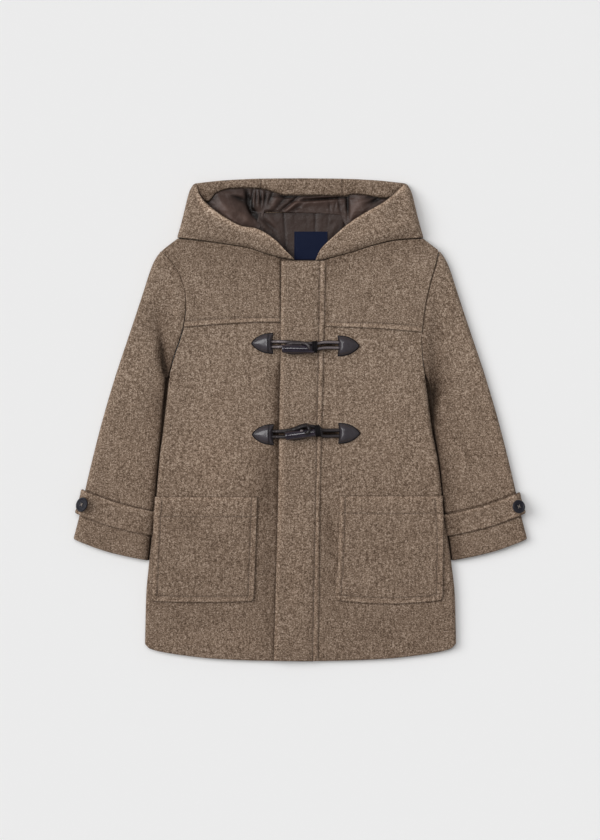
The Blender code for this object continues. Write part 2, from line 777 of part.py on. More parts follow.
def make_hood_centre():
    """The middle panel of the hood, from the face edge to the back of the neck, flat on the surface."""
    left, right = CENTRE_PANEL
    places = []
    for share in (0, 0.5, 1):
        row = []
        for x in np.linspace(left, right, 9):
            top = float(between(HOOD_TOP, abs(x)))
            foot = float(between(BACK_NECK, abs(x))) + NECK_SEAM
            row.append((x, top + (foot - top) * share))
        places.append(row)
    level_sheet("hood_centre", places, lambda x, y: 0, WOOL_WALL, "wool")


def make_facing():
    """The wool facing inside the hood's top edge."""
    reach = 124.0
    inset = 1.2
    places = []
    for share in (0, 0.5, 1):
        row = []
        for x in np.linspace(-reach, reach, 15):
            top = float(between(HOOD_TOP, abs(x))) - inset
            row.append((x, top - FACING_DEPTH * share))
        places.append(row)
    level_sheet("hood_facing", places, lambda x, y: WOOL_WALL + OVERLAY, WOOL_WALL, "wool")


def lining_low(x, y):
    """Underside of the hood's lining: low at the back, rising to both sides, with its largest folds."""
    rise = min(max((abs(x) - 42) / 50, 0), 1)
    fade = min(max((297 - y) / 26, 0), 1)
    height = WOOL_WALL + 1.0 + (3.6 + 2.0 * fade) * rise * rise * (3 - 2 * rise)
    if y < float(between(BACK_NECK, abs(x))) + 2 * NECK_SEAM:
        height = max(height, LINED_WALL + OVERLAY + LAID)
    for fold_x, fold_y, direction, half_width, half_length, fold_height in LINING_FOLDS:
        turn = math.radians(direction)
        run = (x - fold_x) * math.cos(turn) + (y - fold_y) * math.sin(turn)
        off = (y - fold_y) * math.cos(turn) - (x - fold_x) * math.sin(turn)
        height += soft_bump(off, run, (0, 0, half_width, half_length, fold_height))
    return height


def make_hood_lining():
    """The quilted lining of the hood, from its facing down to the back of the neck and below the two flaps."""
    left, right = LINING_FOOT[0][0], LINING_FOOT[-1][0]
    places = []
    for share in np.linspace(0, 1, 9):
        row = []
        for x in np.linspace(left, right, 27):
            top = float(between(HOOD_TOP, abs(x))) - FACING_DEPTH - 1.8
            foot = float(between(LINING_FOOT, x))
            row.append((x, top + (foot - top) * share))
        places.append(row)
    level_sheet("hood_lining", places, lining_low, LINING_WALL, "lining")


def make_neck_lining():
    """The lining of the back that shows in the neck opening."""
    places = []
    for y in np.linspace(NECK_LINING_ROWS[0][0], NECK_LINING_ROWS[-1][0], 7):
        left, right = (float(between(NECK_LINING_ROWS, y, column)) for column in (1, 2))
        places.append([(x, y) for x in np.linspace(left, right, 10)])
    level_sheet("neck_lining", places, lambda x, y: LINED_WALL + LAID, NECK_LINING_WALL, "lining")


def make_label():
    """A woven neck label, sewn to the lining."""
    left, right, top, foot = LABEL
    places = [[(x, y) for x in np.linspace(left, right, 4)] for y in np.linspace(top, foot, 4)]
    low = LINED_WALL + LAID + NECK_LINING_WALL + LAID
    level_sheet("neck_label", places, lambda x, y: low, LABEL_WALL, "label")


# Fastenings


def make_leather_tab(name, back_x, y, towards):
    """A shield of folded leather, its straight back edge towards the placket and its tip away from it."""
    shares = (0, 0.2, 0.4, 0.58, 0.74, 0.88, 1)
    half_widths = [LEATHER_HALF * (1 - share**2.1) ** 0.85 for share in shares]
    outline = [(share, half) for share, half in zip(shares, half_widths)]
    outline += [(share, -half) for share, half in zip(shares[-2::-1], half_widths[-2::-1])]
    outline = [(back_x + towards * LEATHER_LENGTH * share, y + half) for share, half in outline]
    middle = np.array([back_x + towards * LEATHER_LENGTH * 0.42, y])
    base = max(front_height(*place) for place in outline) + OVERLAY
    layers = ((1.0, 0.0), (1.0, LEATHER_WALL * 0.6), (0.9, LEATHER_WALL * 0.92), (0.5, LEATHER_WALL * 1.1))
    points = []
    for scale, height in layers:
        for place in outline:
            points.append((*(middle + (np.array(place) - middle) * scale), base + height))
    count = len(outline)
    faces = [list(range(count)), list(range((len(layers) - 1) * count, len(layers) * count))]
    for layer in range(len(layers) - 1):
        for i in range(count):
            after = (i + 1) % count
            low, high = layer * count, (layer + 1) * count
            faces.append([low + i, low + after, high + after, high + i])
    solid(name, points, faces, "leather")
    return base


def placket_top(y):
    return float(front_height(0, y)) + OVERLAY + PLACKET_WALL


def make_cord(name, start_x, y, end_x, base, placket_edge):
    """A doubled cord: out of its leather tab, up over the placket's edge, and back in a hairpin turn."""
    low = base + LEATHER_WALL * 0.6
    high = placket_top(y) + OVERLAY / 2 + CORD / 2
    towards = 1 if end_x > start_x else -1
    stub, clear_of_edge = 1.4, 2.0
    run = [(start_x + towards * OVERLAY, low), (start_x + towards * stub, low)]
    run += [(placket_edge - towards * clear_of_edge, high), (placket_edge + towards * 3, high)]
    run += [(end_x - towards * 12, high), (end_x - towards * CORD_SPREAD, high)]
    points = [(x, y + CORD_SPREAD, z) for x, z in run]
    for angle in (45, 90, 135):
        turn = math.radians(angle)
        across = CORD_SPREAD * math.cos(turn)
        ahead = CORD_SPREAD * math.sin(turn)
        points.append((end_x - towards * CORD_SPREAD + towards * ahead, y + across, high))
    points += [(x, y - CORD_SPREAD, z) for x, z in run[::-1]]
    curve = bpy.data.curves.new(name, "CURVE")
    curve.dimensions = "3D"
    curve.bevel_depth = CORD / 2 * MM
    curve.bevel_resolution = 2
    curve.use_fill_caps = True
    spline = curve.splines.new("POLY")
    spline.points.add(len(points) - 1)
    for place, point in zip(spline.points, points):
        place.co = (*(value * MM for value in point), 1)
    curve.materials.append(material("cord"))
    obj = bpy.data.objects.new(name, curve)
    bpy.context.collection.objects.link(obj)


def make_toggle(name, x, y, lean):
    """A horn toggle: a round bar, waisted a little at its middle and rounded at its ends."""
    half = TOGGLE_LENGTH / 2
    shape = (  # share of the half length, share of the radius
        (1.0, 0.0), (0.99, 0.62), (0.93, 0.8), (0.6, 0.97), (0.2, 1.0), (0.0, 0.97),
    )
    profile = [(TOGGLE_RADIUS * radius, -half * place) for place, radius in shape]
    profile += [(TOGGLE_RADIUS * radius, half * place) for place, radius in shape[-2::-1]]
    turn = math.radians(lean)
    axis = np.array([math.cos(turn), math.sin(turn), 0])
    height = placket_top(y) + OVERLAY / 2 + CORD + OVERLAY / 2 + TOGGLE_RADIUS
    turned_part(name, profile, np.array([x, y, height]), axis, np.array([0.0, 0.0, 1.0]), 14, "horn")


def make_fastening(row, right_x, right_y, left_x, left_y, x, y, lean):
    """One row: a leather tab on each front, each with its doubled cord, and the toggle that they meet under."""
    free = float(between(PLACKET_EDGES, y, 1))
    seam = float(between(PLACKET_EDGES, y, 3))
    right_base = make_leather_tab(f"tab_right_{row}", right_x, right_y, -1)
    left_base = make_leather_tab(f"tab_left_{row}", left_x, left_y, 1)
    meet = x + 3.0
    apart = CORD / 2 + OVERLAY / 2
    make_cord(f"toggle_cord_{row}", right_x, right_y, meet - apart, right_base, free)
    make_cord(f"loop_cord_{row}", left_x, left_y, meet + apart, left_base, seam)
    make_toggle(f"toggle_{row}", x, y, lean)


def main():
    clear_scene()
    make_back()
    for side in (-1, 1):
        make_front(side)
        make_yoke(side)
        make_pocket(side)
        make_sleeve(side)
        make_cuff_tab(side)
        make_button(side)
        make_hood_side(side)
    make_placket()
    make_hood_centre()
    make_facing()
    make_hood_lining()
    make_neck_lining()
    make_label()
    for fastening in TOGGLE_ROWS:
        make_fastening(*fastening)


main()
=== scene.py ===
"""A child's hooded duffle coat of brown wool melton, laid flat on its back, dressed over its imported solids.

+X runs to the wearer's left, +Y to the hood and +Z up. Sizes in the tables are millimetres."""

import math

import bpy
import numpy as np
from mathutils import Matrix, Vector


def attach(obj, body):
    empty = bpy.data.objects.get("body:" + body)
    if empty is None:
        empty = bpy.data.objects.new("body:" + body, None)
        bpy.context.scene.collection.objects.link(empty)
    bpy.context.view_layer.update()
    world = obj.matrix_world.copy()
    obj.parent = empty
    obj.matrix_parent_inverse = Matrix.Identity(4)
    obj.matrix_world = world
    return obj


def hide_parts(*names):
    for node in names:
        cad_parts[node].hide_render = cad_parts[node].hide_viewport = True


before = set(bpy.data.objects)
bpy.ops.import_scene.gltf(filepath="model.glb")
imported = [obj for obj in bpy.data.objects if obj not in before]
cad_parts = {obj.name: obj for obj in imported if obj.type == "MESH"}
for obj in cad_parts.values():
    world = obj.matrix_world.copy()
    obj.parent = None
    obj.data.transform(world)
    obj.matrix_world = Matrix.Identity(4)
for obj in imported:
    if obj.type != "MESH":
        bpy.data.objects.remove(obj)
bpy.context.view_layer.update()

# The stage. The coat lies on a plain pale floor and the camera looks straight down on it from far away. A
# wide soft lamp stands low at the left, a softer one hangs overhead, and a pale room with a dark ceiling
# fills in.
CAMERA_HEIGHT = 5.0
SENSOR = 24.0
SEEN_HEIGHT = 1.092  # metres of floor in the picture's height
SEEN_CENTRE = -0.0004
LAMPS = (  # towards, energy, degrees across
    ("side_lamp", (-1, 0.30, 0.94), 1.52, 38), ("top_lamp", (-0.10, 0.16, 1), 1.03, 60),
    ("strip_lamp", (-0.06, 0.31, 0.95), 0.30, 12),
)
ROOM, CEILING = 0.22, 0.10
FLOOR_HALF, FLOOR_Z = 15.0, -0.0001

camera = bpy.data.objects.new("camera", bpy.data.cameras.new("camera"))
camera.data.sensor_fit = "VERTICAL"
camera.data.sensor_height = SENSOR
camera.data.lens = SENSOR * CAMERA_HEIGHT / SEEN_HEIGHT
camera.data.clip_end = 100
camera.location = (SEEN_CENTRE, 0, CAMERA_HEIGHT)
bpy.context.scene.collection.objects.link(camera)
bpy.context.scene.camera = camera

for name, towards, energy, softness in LAMPS:
    lamp = bpy.data.objects.new(name, bpy.data.lights.new(name, "SUN"))
    lamp.data.energy = energy
    lamp.data.angle = math.radians(softness)
    lamp.rotation_euler = Vector(towards).to_track_quat("Z", "Y").to_euler()
    lamp.visible_glossy = name != "top_lamp"
    bpy.context.scene.collection.objects.link(lamp)
bpy.context.scene.view_settings.view_transform = "Standard"


class Wire:
    """One socket of a material's nodes. Operators add Math nodes, and node() adds any other node."""

    def __init__(self, tree, socket=None):
        self.tree, self.socket = tree, socket

    def node(self, kind, settings=None, sockets=None, out=0):
        made = self.tree.nodes.new(kind)
        for name, value in (settings or {}).items():
            if name == "stops":
                ramp = made.color_ramp.elements
                while len(ramp) < len(value):
                    ramp.new(1)
                for stop, (place, colour) in zip(ramp, value):
                    stop.position, stop.color = place, (*colour, 1)
            else:
                setattr(made, name, value)
        for name, value in (sockets or {}).items():
            if isinstance(value, Wire):
                self.tree.links.new(value.socket, made.inputs[name])
            else:
                made.inputs[name].default_value = value
        return Wire(self.tree, made.outputs[out])

    def into(self, socket):
        self.tree.links.new(self.socket, socket)

    def maths(self, operation, first, second):
        return self.node("ShaderNodeMath", {"operation": operation}, {0: first, 1: second})

    def __add__(self, other):
        return self.maths("ADD", self, other)

    def __sub__(self, other):
        return self.maths("SUBTRACT", self, other)

    def __rsub__(self, other):
        return self.maths("SUBTRACT", other, self)

    def __mul__(self, other):
        return self.maths("MULTIPLY", self, other)

    __radd__, __rmul__ = __add__, __mul__

    def place(self):
        return self.node("ShaderNodeTexCoord", out=3)

    def measure(self, name):
        return self.node("ShaderNodeAttribute", {"attribute_name": name}, out=2)

    def noise(self, place, scale, detail=2.0, **more):
        sockets = {"Vector": place, "Scale": scale, "Detail": detail, **more}
        return self.node("ShaderNodeTexNoise", {}, sockets)

    def wave(self, way, place, scale, **more):
        sockets = {"Vector": place, "Scale": scale, **more}
        return self.node("ShaderNodeTexWave", {"bands_direction": way}, sockets)

    def bump(self, strength, distance, height, **more):
        sockets = {"Strength": strength, "Distance": distance, "Height": height, **more}
        return self.node("ShaderNodeBump", {}, sockets)

    def blend(self, share, first, second, kind="MIX"):
        """Two colours mixed by share. Each is a wire, or three numbers."""
        first, second = (colour if isinstance(colour, Wire) else (*colour, 1) for colour in (first, second))
        settings = {"data_type": "RGBA", "blend_type": kind}
        return self.node("ShaderNodeMix", settings, {0: share, 6: first, 7: second}, 2)

    def times(self, first, second):
        return self.blend(1.0, first, second, "MULTIPLY")


def new_finish(name, colour, roughness, **plain):
    """A material, its shader's sockets and a wire for its nodes. plain are the sockets set to one value."""
    made = bpy.data.materials.new(name)
    made.use_nodes = True
    shader = made.node_tree.nodes["Principled BSDF"].inputs
    shader["Base Color"].default_value = (*colour, 1)
    shader["Roughness"].default_value = roughness
    for socket, value in plain.items():
        shader[socket.replace("_", " ")].default_value = value
    return made, shader, Wire(made.node_tree)


world = bpy.data.worlds.new("pale_room")
world.use_nodes = True
wire = Wire(world.node_tree)
upward = wire.node("ShaderNodeSeparateXYZ", {}, {"Vector": wire.node("ShaderNodeTexCoord")}, 2)
stops = [(at, (grey,) * 3) for at, grey in ((0, ROOM), (0.80, ROOM), (0.93, CEILING), (1, CEILING))]
room = wire.node("ShaderNodeValToRGB", {"stops": stops}, {"Fac": upward})
room.into(world.node_tree.nodes["Background"].inputs["Color"])
bpy.context.scene.world = world

floor_finish, floor_shader, wire = new_finish("floor_paint", (0.9, 0.9, 0.9), 0.9, Specular_IOR_Level=0.1)
(wire.noise(wire.place(), 3.0) * 0.04 + 0.86).into(floor_shader["Roughness"])
floor_mesh = bpy.data.meshes.new("floor")
corners = ((-1, -1), (1, -1), (1, 1), (-1, 1))
floor_mesh.from_pydata([(x * FLOOR_HALF, y * FLOOR_HALF, FLOOR_Z) for x, y in corners], [], [(0, 1, 2, 3)])
floor_mesh.materials.append(floor_finish)
floor = bpy.data.objects.new("floor", floor_mesh)
bpy.context.scene.collection.objects.link(floor)

# The back, one panel of melton with a wadded lining, 4.5 mm thick. It lies flat on the floor, and its edges
# turn up to the side and shoulder seams. The cloth is a heathered brown: light and dark wool fibres, milled
# together until the weave hardly shows.
MM = 0.001
LINED_WALL = 4.5
BODY_HEIGHT = 12.3  # back, a little air and front
MIDDLE = ROLL = BODY_HEIGHT / 2
SEAM = 0.5
NECK_POINT_Y, SHOULDER_END_Y, ARMPIT_Y, HEM_CORNER_Y = 235.5, 219.7, 57.0, -291.2
BODY_EDGE = (  # y, half width at the wearer's right, at the wearer's left
    (NECK_POINT_Y, 160, 160), (SHOULDER_END_Y, 180, 180), (200, 162.5, 175.5), (182, 153.5, 170),
    (165, 149, 166), (148, 148.6, 162.6), (126, 151, 159.6), (105, 156.5, 157.8), (85, 163.5, 158.8),
    (ARMPIT_Y, 170.5, 162.8), (25, 174.3, 167), (-10, 178.5, 171.8), (-45, 183, 178.5), (-80, 186, 183),
    (-115, 188.8, 185.8), (-150, 193.3, 192), (-185, 197, 196.8), (-225, 200.4, 200.8),
    (HEM_CORNER_Y, 202, 202.6),
)
HEM = (  # half width, y
    (0, -313.3), (60, -312.2), (110, -310), (148, -306), (180, -301), (196, -296.5), (202.6, HEM_CORNER_Y),
)
BACK_NECK = ((0, 268.5), (45, 267), (85, 260.5), (125, 249), (160, NECK_POINT_Y))  # half width, y
NEAR_EDGE = (0.06, 0.25, 0.6, 1.1)  # where a rounded edge has its points, in shares of its radius
NEAR_STITCHES = (-2.4, -1.5, -0.8, -0.35, 0.0, 0.35, 0.8, 1.5, 2.4)


def between(table, at, column=1):
    """A column of a table read at any places of its first column, in a smooth curve without overshoot."""
    data = np.array(sorted(table), float)
    x, y = data[:, 0], data[:, column]
    step = np.diff(x)
    slope = np.diff(y) / step
    tangent = np.zeros(len(x))
    tangent[0], tangent[-1] = slope[0], slope[-1]
    turning = slope[:-1] * slope[1:] > 0
    tangent[1:-1][turning] = (2 * slope[:-1] * slope[1:])[turning] / (slope[:-1] + slope[1:])[turning]
    at = np.clip(np.asarray(at, float), x[0], x[-1])
    i = np.clip(np.searchsorted(x, at, side="right") - 1, 0, len(x) - 2)
    t = (at - x[i]) / step[i]
    return (
        (2 * t**3 - 3 * t**2 + 1) * y[i]
        + (t**3 - 2 * t**2 + t) * step[i] * tangent[i]
        + (3 * t**2 - 2 * t**3) * y[i + 1]
        + (t**3 - t**2) * step[i] * tangent[i + 1]
    )


def smooth(t):
    t = np.clip(t, 0, 1)
    return t * t * (3 - 2 * t)


def bell(distance, half_width):
    """1 in the middle, falling smoothly to 0 beyond about two half widths."""
    return np.exp(-((distance / half_width) ** 2))


def lengths(line):
    return np.concatenate([[0], np.cumsum(np.linalg.norm(np.diff(line, axis=0), axis=1))])


def places(length, step, ends=(0, 0), marks=()):
    """Distances across a piece, a step apart, and closer at its rounded ends and its rows of stitching."""
    close = [radius * near for radius in ends[:1] for near in NEAR_EDGE if radius]
    close += [length - radius * near for radius in ends[1:] for near in NEAR_EDGE if radius]
    close += [mark + near for mark in marks for near in NEAR_STITCHES]
    even = np.linspace(0, length, max(2, round(length / step) + 1))
    even = [place for place in even[1:-1] if all(abs(place - other) > 0.35 * step for other in close)]
    close = [place for place in close if 0.02 < place < length - 0.02]
    return np.unique(np.round([0, length, *even, *close], 3))


def folds(x, y, rows):
    """Soft ridges and troughs. Each row is x, y, direction in degrees, half width, half length and height."""
    total = np.zeros(np.broadcast(x, y).shape)
    for fold_x, fold_y, direction, half_width, half_length, height in rows:
        turn = math.radians(direction)
        run = (x - fold_x) * math.cos(turn) + (y - fold_y) * math.sin(turn)
        off = (y - fold_y) * math.cos(turn) - (x - fold_x) * math.sin(turn)
        total += height * np.exp(-((off / half_width) ** 2) - (run / half_length) ** 2)
    return total


def uneven(x, y, size, height, seed):
    """Slow fixed waves, about size across, as cloth has that was worn, folded and smoothed out by hand."""
    random = np.random.default_rng(seed)
    total = np.zeros(np.broadcast(x, y).shape)
    for _ in range(16):
        turn, phase, share = random.uniform(0, math.tau, 3)
        wave = math.tau / (size * (0.6 + share / math.tau))
        total += np.sin(wave * (x * math.cos(turn) + y * math.sin(turn)) + phase)
    return total * height / 3


PAINTED_SHADE_STROKES = (  # strokes of painted shade and light on the wool: x, y, direction, half width, half length, how much lighter
    (-180, 128, 75, 13, 34, -0.10), (-188, 30, 83, 8, 90, -0.10), (186, 20, 98, 13, 90, -0.10),
    (-45, -88, 90, 13, 42, -0.36), (-41, -190, 90, 7, 40, -0.12), (-24, -75, 90, 4, 60, 0.22),
    (37, -148, 98, 9, 62, -0.12), (93, -71, 122, 5, 24, -0.06), (-52, -212, 90, 3, 36, 0.08),
    (-100, 185, 4, 34, 60, -0.08), (88, 243, 20, 12, 50, 0.16), (-205, 130, 70, 16, 40, -0.15),
    (-112, 60, 88, 30, 60, 0.05), (104, 40, 92, 30, 60, 0.04), (-210, 90, 70, 14, 70, 0.05),
    (214, 90, 110, 14, 70, 0.04), (38, 97.2, 0, 3, 14, -1.1), (-29, 98.1, 0, 2.2, 7, -0.5),
    (38, -17, 0, 3.4, 14, -1.5), (-26, -18.4, 0, 3.2, 12, -1.4), (-115, -55, 90, 30, 50, 0.14),
    (-5, -200, 90, 16, 70, 0.09), (-115, -285, 0, 14, 90, 0.10), (-176.7, 66, 100, 3, 11, -0.80),
    (-181, 98, 97, 3.2, 24, -0.30), (-177.5, 88, 98, 8, 24, -0.26), (-184, 26, 92, 7, 22, -0.08),
    (-94, 245, -23, 6, 30, -0.12),
)
PAINTED_SHADE_LIMITS = (-0.88, 1.1)  # the darkest and the lightest that painted shade and light may make a colour
EDGE_SHADE = ((0, 0.8, -0.40), (2.8, 1.8, 0.24))  # distance from a sewn-on edge, half width, share


def edge_shade(distance):
    """Painted shade where a sewn-on piece turns down, and a painted highlight just inside that."""
    return sum(share * bell(distance - at, half_width) for at, half_width, share in EDGE_SHADE)


def new_piece(name, points, faces, finish):
    """A smooth object in one material, from points in millimetres and faces."""
    mesh = bpy.data.meshes.new(name)
    mesh.from_pydata((np.asarray(points).reshape(-1, 3) * MM).tolist(), [], faces)
    mesh.materials.append(finish)
    mesh.shade_smooth()
    piece = bpy.data.objects.new(name, mesh)
    bpy.context.scene.collection.objects.link(piece)
    return piece


def painted(piece, attribute, values):
    """One value for each point of a piece, for its material to read."""
    piece.data.attributes.new(attribute, "FLOAT", "POINT").data.foreach_set("value", values.ravel())


def dressed(piece, node):
    """Every piece of the coat rides on its one body and stands for a node of the solids."""
    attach(piece, "root")
    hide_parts(node)


def cloth(name, outer, inner, finish, edges=(0, 0, 0, 0), tube=False, grain=None, crease=0.0):
    """A closed piece between its two faces, each a grid of points in millimetres, rows by columns.

    edges are the radii of its first and last row and of its first and last column. A tube's columns run
    round and meet. The map "weave" holds the cloth's own measures in metres: across its rows and, unless
    grain is given, y. Its attribute of painted shade and light says how much darker or lighter its colour is
    drawn."""
    rows, columns = outer.shape[:2]
    middle, half = (outer + inner) / 2, (outer - inner) / 2
    loop = np.concatenate([middle, middle[:, :1]], axis=1) if tube else middle
    run = np.cumsum(np.pad(np.linalg.norm(np.diff(loop, axis=1), axis=2), ((0, 0), (1, 0))), axis=1)
    rise = np.cumsum(np.pad(np.linalg.norm(np.diff(middle, axis=0), axis=2), ((1, 0), (0, 0))), axis=0)
    left = np.ones((rows, columns))
    for distance, radius in zip((rise, rise[-1:] - rise, run, run[:, -1:] - run), edges):
        if radius:
            near = np.clip(distance[:, :columns] / radius, 0, 1)
            left *= 0.08 + 0.92 * np.sqrt(1 - (1 - near) ** 2)
    half = half * left[..., None]
    points = np.concatenate([(middle + half).reshape(-1, 3), (middle - half).reshape(-1, 3)])
    across = run + loop[:, :1, 0]
    up = loop[..., 1] if grain is None else np.broadcast_to(grain, run.shape)

    down, step = np.arange(rows - 1), np.arange(run.shape[1] - 1)
    row, column = (grid.ravel() for grid in np.meshgrid(down, step, indexing="ij"))

    def faces(*corners):
        return np.stack([np.stack(np.broadcast_arrays(*corner), -1) for corner in corners], 1)

    made = [
        faces((0, row, column), (0, row + 1, column), (0, row + 1, column + 1), (0, row, column + 1)),
        faces((1, row, column), (1, row, column + 1), (1, row + 1, column + 1), (1, row + 1, column)),
        faces((0, 0, step), (0, 0, step + 1), (1, 0, step + 1), (1, 0, step)),
        faces((0, rows - 1, step + 1), (0, rows - 1, step), (1, rows - 1, step), (1, rows - 1, step + 1)),
    ]
    if not tube:
        last = columns - 1
        made.append(faces((0, down + 1, 0), (0, down, 0), (1, down, 0), (1, down + 1, 0)))
        made.append(faces((0, down, last), (0, down + 1, last), (1, down + 1, last), (1, down, last)))
    corners = np.concatenate(made)
    index = (corners[..., 0] * rows + corners[..., 1]) * columns + corners[..., 2] % columns
    first, second, third = (points[index[:, corner]] for corner in range(3))
    turned = np.einsum("ij,ij->i", first, np.cross(second, third)).sum()
    if turned < 0:
        index, corners = index[:, ::-1], corners[:, ::-1]
    piece = new_piece(name, points, index.tolist(), finish)
    row_at, column_at = corners[..., 1], corners[..., 2]
    weave = np.stack([across[row_at, column_at], up[row_at, column_at]], -1) * MM
    piece.data.uv_layers.new(name="weave").data.foreach_set("uv", weave.ravel())
    # Painted shade and light: strokes on every wool piece, added to the piece's own painted shade, within
    # limits.
    strokes = folds(middle[..., 0], middle[..., 1], PAINTED_SHADE_STROKES) if finish is wool else 0
    shade = np.clip(np.broadcast_to(strokes + crease, (rows, columns)), *PAINTED_SHADE_LIMITS)
    painted(piece, "crease", np.tile(shade.ravel(), 2))
    return piece


def body_edge(side, y):
    column = 1 if side < 0 else 2
    shoulder = between([row[:3] for row in BODY_EDGE[:2]], y, column)
    return np.where(np.asarray(y) >= SHOULDER_END_Y, shoulder, between(BODY_EDGE[1:], y, column))


def rolled(y):
    """How far the body's edge turns over: fully at shoulder and side, not at all along the armhole."""
    return 1 - np.minimum(smooth((y - ARMPIT_Y) / 6), smooth((SHOULDER_END_Y - y) / 6))


def row_y(half, level, neck, column):
    """The y of a row, named by its level at the body's edge, at some half widths."""
    top, foot = between(neck, half, column), between(HEM, half)
    return top + (foot - top) * (NECK_POINT_Y - level) / (NECK_POINT_Y - HEM_CORNER_Y)


def body_levels(step, hem_radius):
    down = places(NECK_POINT_Y - HEM_CORNER_Y, step, (0, hem_radius))
    named = np.array([SHOULDER_END_Y, ARMPIT_Y, ARMPIT_Y + 3, ARMPIT_Y + 6, SHOULDER_END_Y - 3])
    return NECK_POINT_Y - np.unique(np.concatenate([down, NECK_POINT_Y - named]))


wool, shader, wire = new_finish(
    "wool_melton", (0.23, 0.165, 0.12), 0.95, Specular_IOR_Level=0.12, Sheen_Weight=0.06, Sheen_Roughness=0.5,
    Sheen_Tint=(0.62, 0.48, 0.36, 1),
)
weave = wire.node("ShaderNodeUVMap", {"uv_map": "weave"})
solid = wire.place()


def grains(size, detail=2.0, rough=0.6, stretch=(1, 1, 1), source=solid):
    vector = wire.node("ShaderNodeMapping", {}, {"Vector": source, "Scale": stretch})
    return wire.noise(vector, 1 / (size * MM), detail, Roughness=rough)


fibres, flecks, tufts = grains(1.9, 3.0, 0.65), grains(1.15, 1.0, 0.5), grains(4.2)
columns = grains(2.6, 1.0, 0.5, (1, 0.12, 1), weave)
shade = (
    0.5 + (fibres - 0.5) * 2.1 + (flecks - 0.5) * 1.15 + (tufts - 0.5) * 0.65
    + (columns - 0.5) * 0.4 + (grains(38.0) - 0.5) * 0.15
)
stops = (
    (0.0, (0.080, 0.053, 0.036)), (0.3, (0.142, 0.098, 0.069)), (0.5, (0.222, 0.158, 0.113)),
    (0.7, (0.325, 0.243, 0.182)), (1.0, (0.49, 0.39, 0.31)),
)
heather = wire.node("ShaderNodeValToRGB", {"stops": stops}, {"Fac": shade})
# Painted shade: the wool's colour is drawn darker towards the hem.
stops = ((0.0, (0.83, 0.81, 0.80)), (0.45, (0.955, 0.94, 0.93)), (0.6, (1, 1, 1)))
level = wire.node("ShaderNodeSeparateXYZ", {}, {"Vector": solid}, 1)
painted_hem_shade = wire.node("ShaderNodeValToRGB", {"stops": stops}, {"Fac": level * 1.6 + 0.5})  # darker towards the hem
# The pieces' painted shade and light multiply the colour, tinted warmer where the painted shade is darker.
lit = wire.measure("crease") + 1.0
painted_shade_tint = wire.blend(lit, (1, 0.90, 0.84), (1, 1, 1))
wire.times(wire.times(wire.times(heather, painted_hem_shade), painted_shade_tint), lit).into(shader["Base Color"])
wire.bump(0.75, 0.0005, fibres * 0.7 + grains(0.6) * 0.5 + tufts * 0.5).into(shader["Normal"])

levels = body_levels(7, 2.0)
back_outer, back_inner = [], []
for level in levels:
    turn = math.pi / 2 * np.array([*np.linspace(1, 0, 8)[:-1], *np.zeros(41), *np.linspace(0, 1, 8)[1:]])
    share = np.array([*-np.ones(7), *np.linspace(-1, 1, 41), *np.ones(7)])
    side = np.where(share < 0, -1, 1)
    flat_end = np.where(share < 0, body_edge(-1, level), body_edge(1, level)) - ROLL
    sine = np.sin(turn) * rolled(level)
    cosine = np.sqrt(1 - sine**2)
    half = flat_end * abs(share) + ROLL * np.sin(turn)
    y = row_y(half, level, BACK_NECK, 1)
    z = (MIDDLE - SEAM / 2) * (1 - cosine)
    back_outer.append(np.stack([side * half, y, z], -1))
    back_inner.append(np.stack([side * (half - LINED_WALL * sine), y, z + LINED_WALL * cosine], -1))
back = cloth("back_panel", np.array(back_outer), np.array(back_inner), wool, (0, 2.0, 1.2, 1.2))
dressed(back, "back")

# The two fronts, of the same lined melton, lie over the back and meet below the placket. Their side seams
# roll over to the back, and hand-smoothed hollows run beside the placket and the pockets.
FRONT_NECK = (  # half width, y at the wearer's right, at the wearer's left
    (0, 206.5, 206), (23, 210.2, 206.8), (45, 216.2, 212.2), (66, 223.2, 217.8), (94, 228, 226.6),
    (128, 232.4, 233.8), (160, NECK_POINT_Y, NECK_POINT_Y),
)
AIR = ((236, 3.3), (60, 3.3), (-150, 3.3), (-260, 2.6), (-313, 1.4))  # y, between back and fronts
FRONT_FOLDS = (  # x, y, direction, half width, half length, height
    (-44, -210, 90, 14, 60, -1.1), (42, -175, 90, 13, 80, -1.1), (-105, 20, 90, 45, 70, 0.4),
    (98, 30, 90, 45, 70, 0.4), (-150, -262, 0, 18, 26, -0.7), (128, -268, 0, 16, 30, -0.7),
    (-43, -205, 88, 6, 34, -0.9), (41, -150, 91, 6, 46, -0.8), (-36, 45, 90, 6, 48, -0.7),
    (-40, -70, 95, 8, 30, -0.5), (44, -60, 86, 9, 30, -0.4), (-140, 96, 118, 9, 34, -0.5),
    (138, 92, 64, 9, 30, -0.5), (-158, 30, 76, 7, 40, 0.4), (150, 30, 104, 8, 42, 0.4),
    (-92, -262, 8, 7, 36, -0.5), (70, -268, 172, 8, 34, -0.5), (150, -285, 60, 7, 22, 0.5),
    (-168, -285, 120, 7, 20, 0.5), (-112, 180, 20, 12, 30, -0.4), (104, 178, 160, 12, 30, -0.4),
)
PLACKET_EDGES = (  # y, free edge, topstitching, seam edge
    (206.5, -25.1, 25.2, 33.4), (99, -26.1, 23.8, 31), (26, -27.6, 22.2, 29.3), (-103, -29.9, 20, 26),
    (-210, -32.6, 17.7, 25), (-312.5, -35.5, 15.9, 23.3),
)
UNDER_PLACKET = 7.0
POCKETS = (  # side, y of top and foot, inner x of both, outer x of both, hem, how far the foot sags
    (-1, -99.2, -235.2, 55, 59.6, 187.8, 193.6, 26, 1.6),
    (1, -97.9, -233.5, 51, 46, 182.6, 185.5, 22.5, 5.2),
)
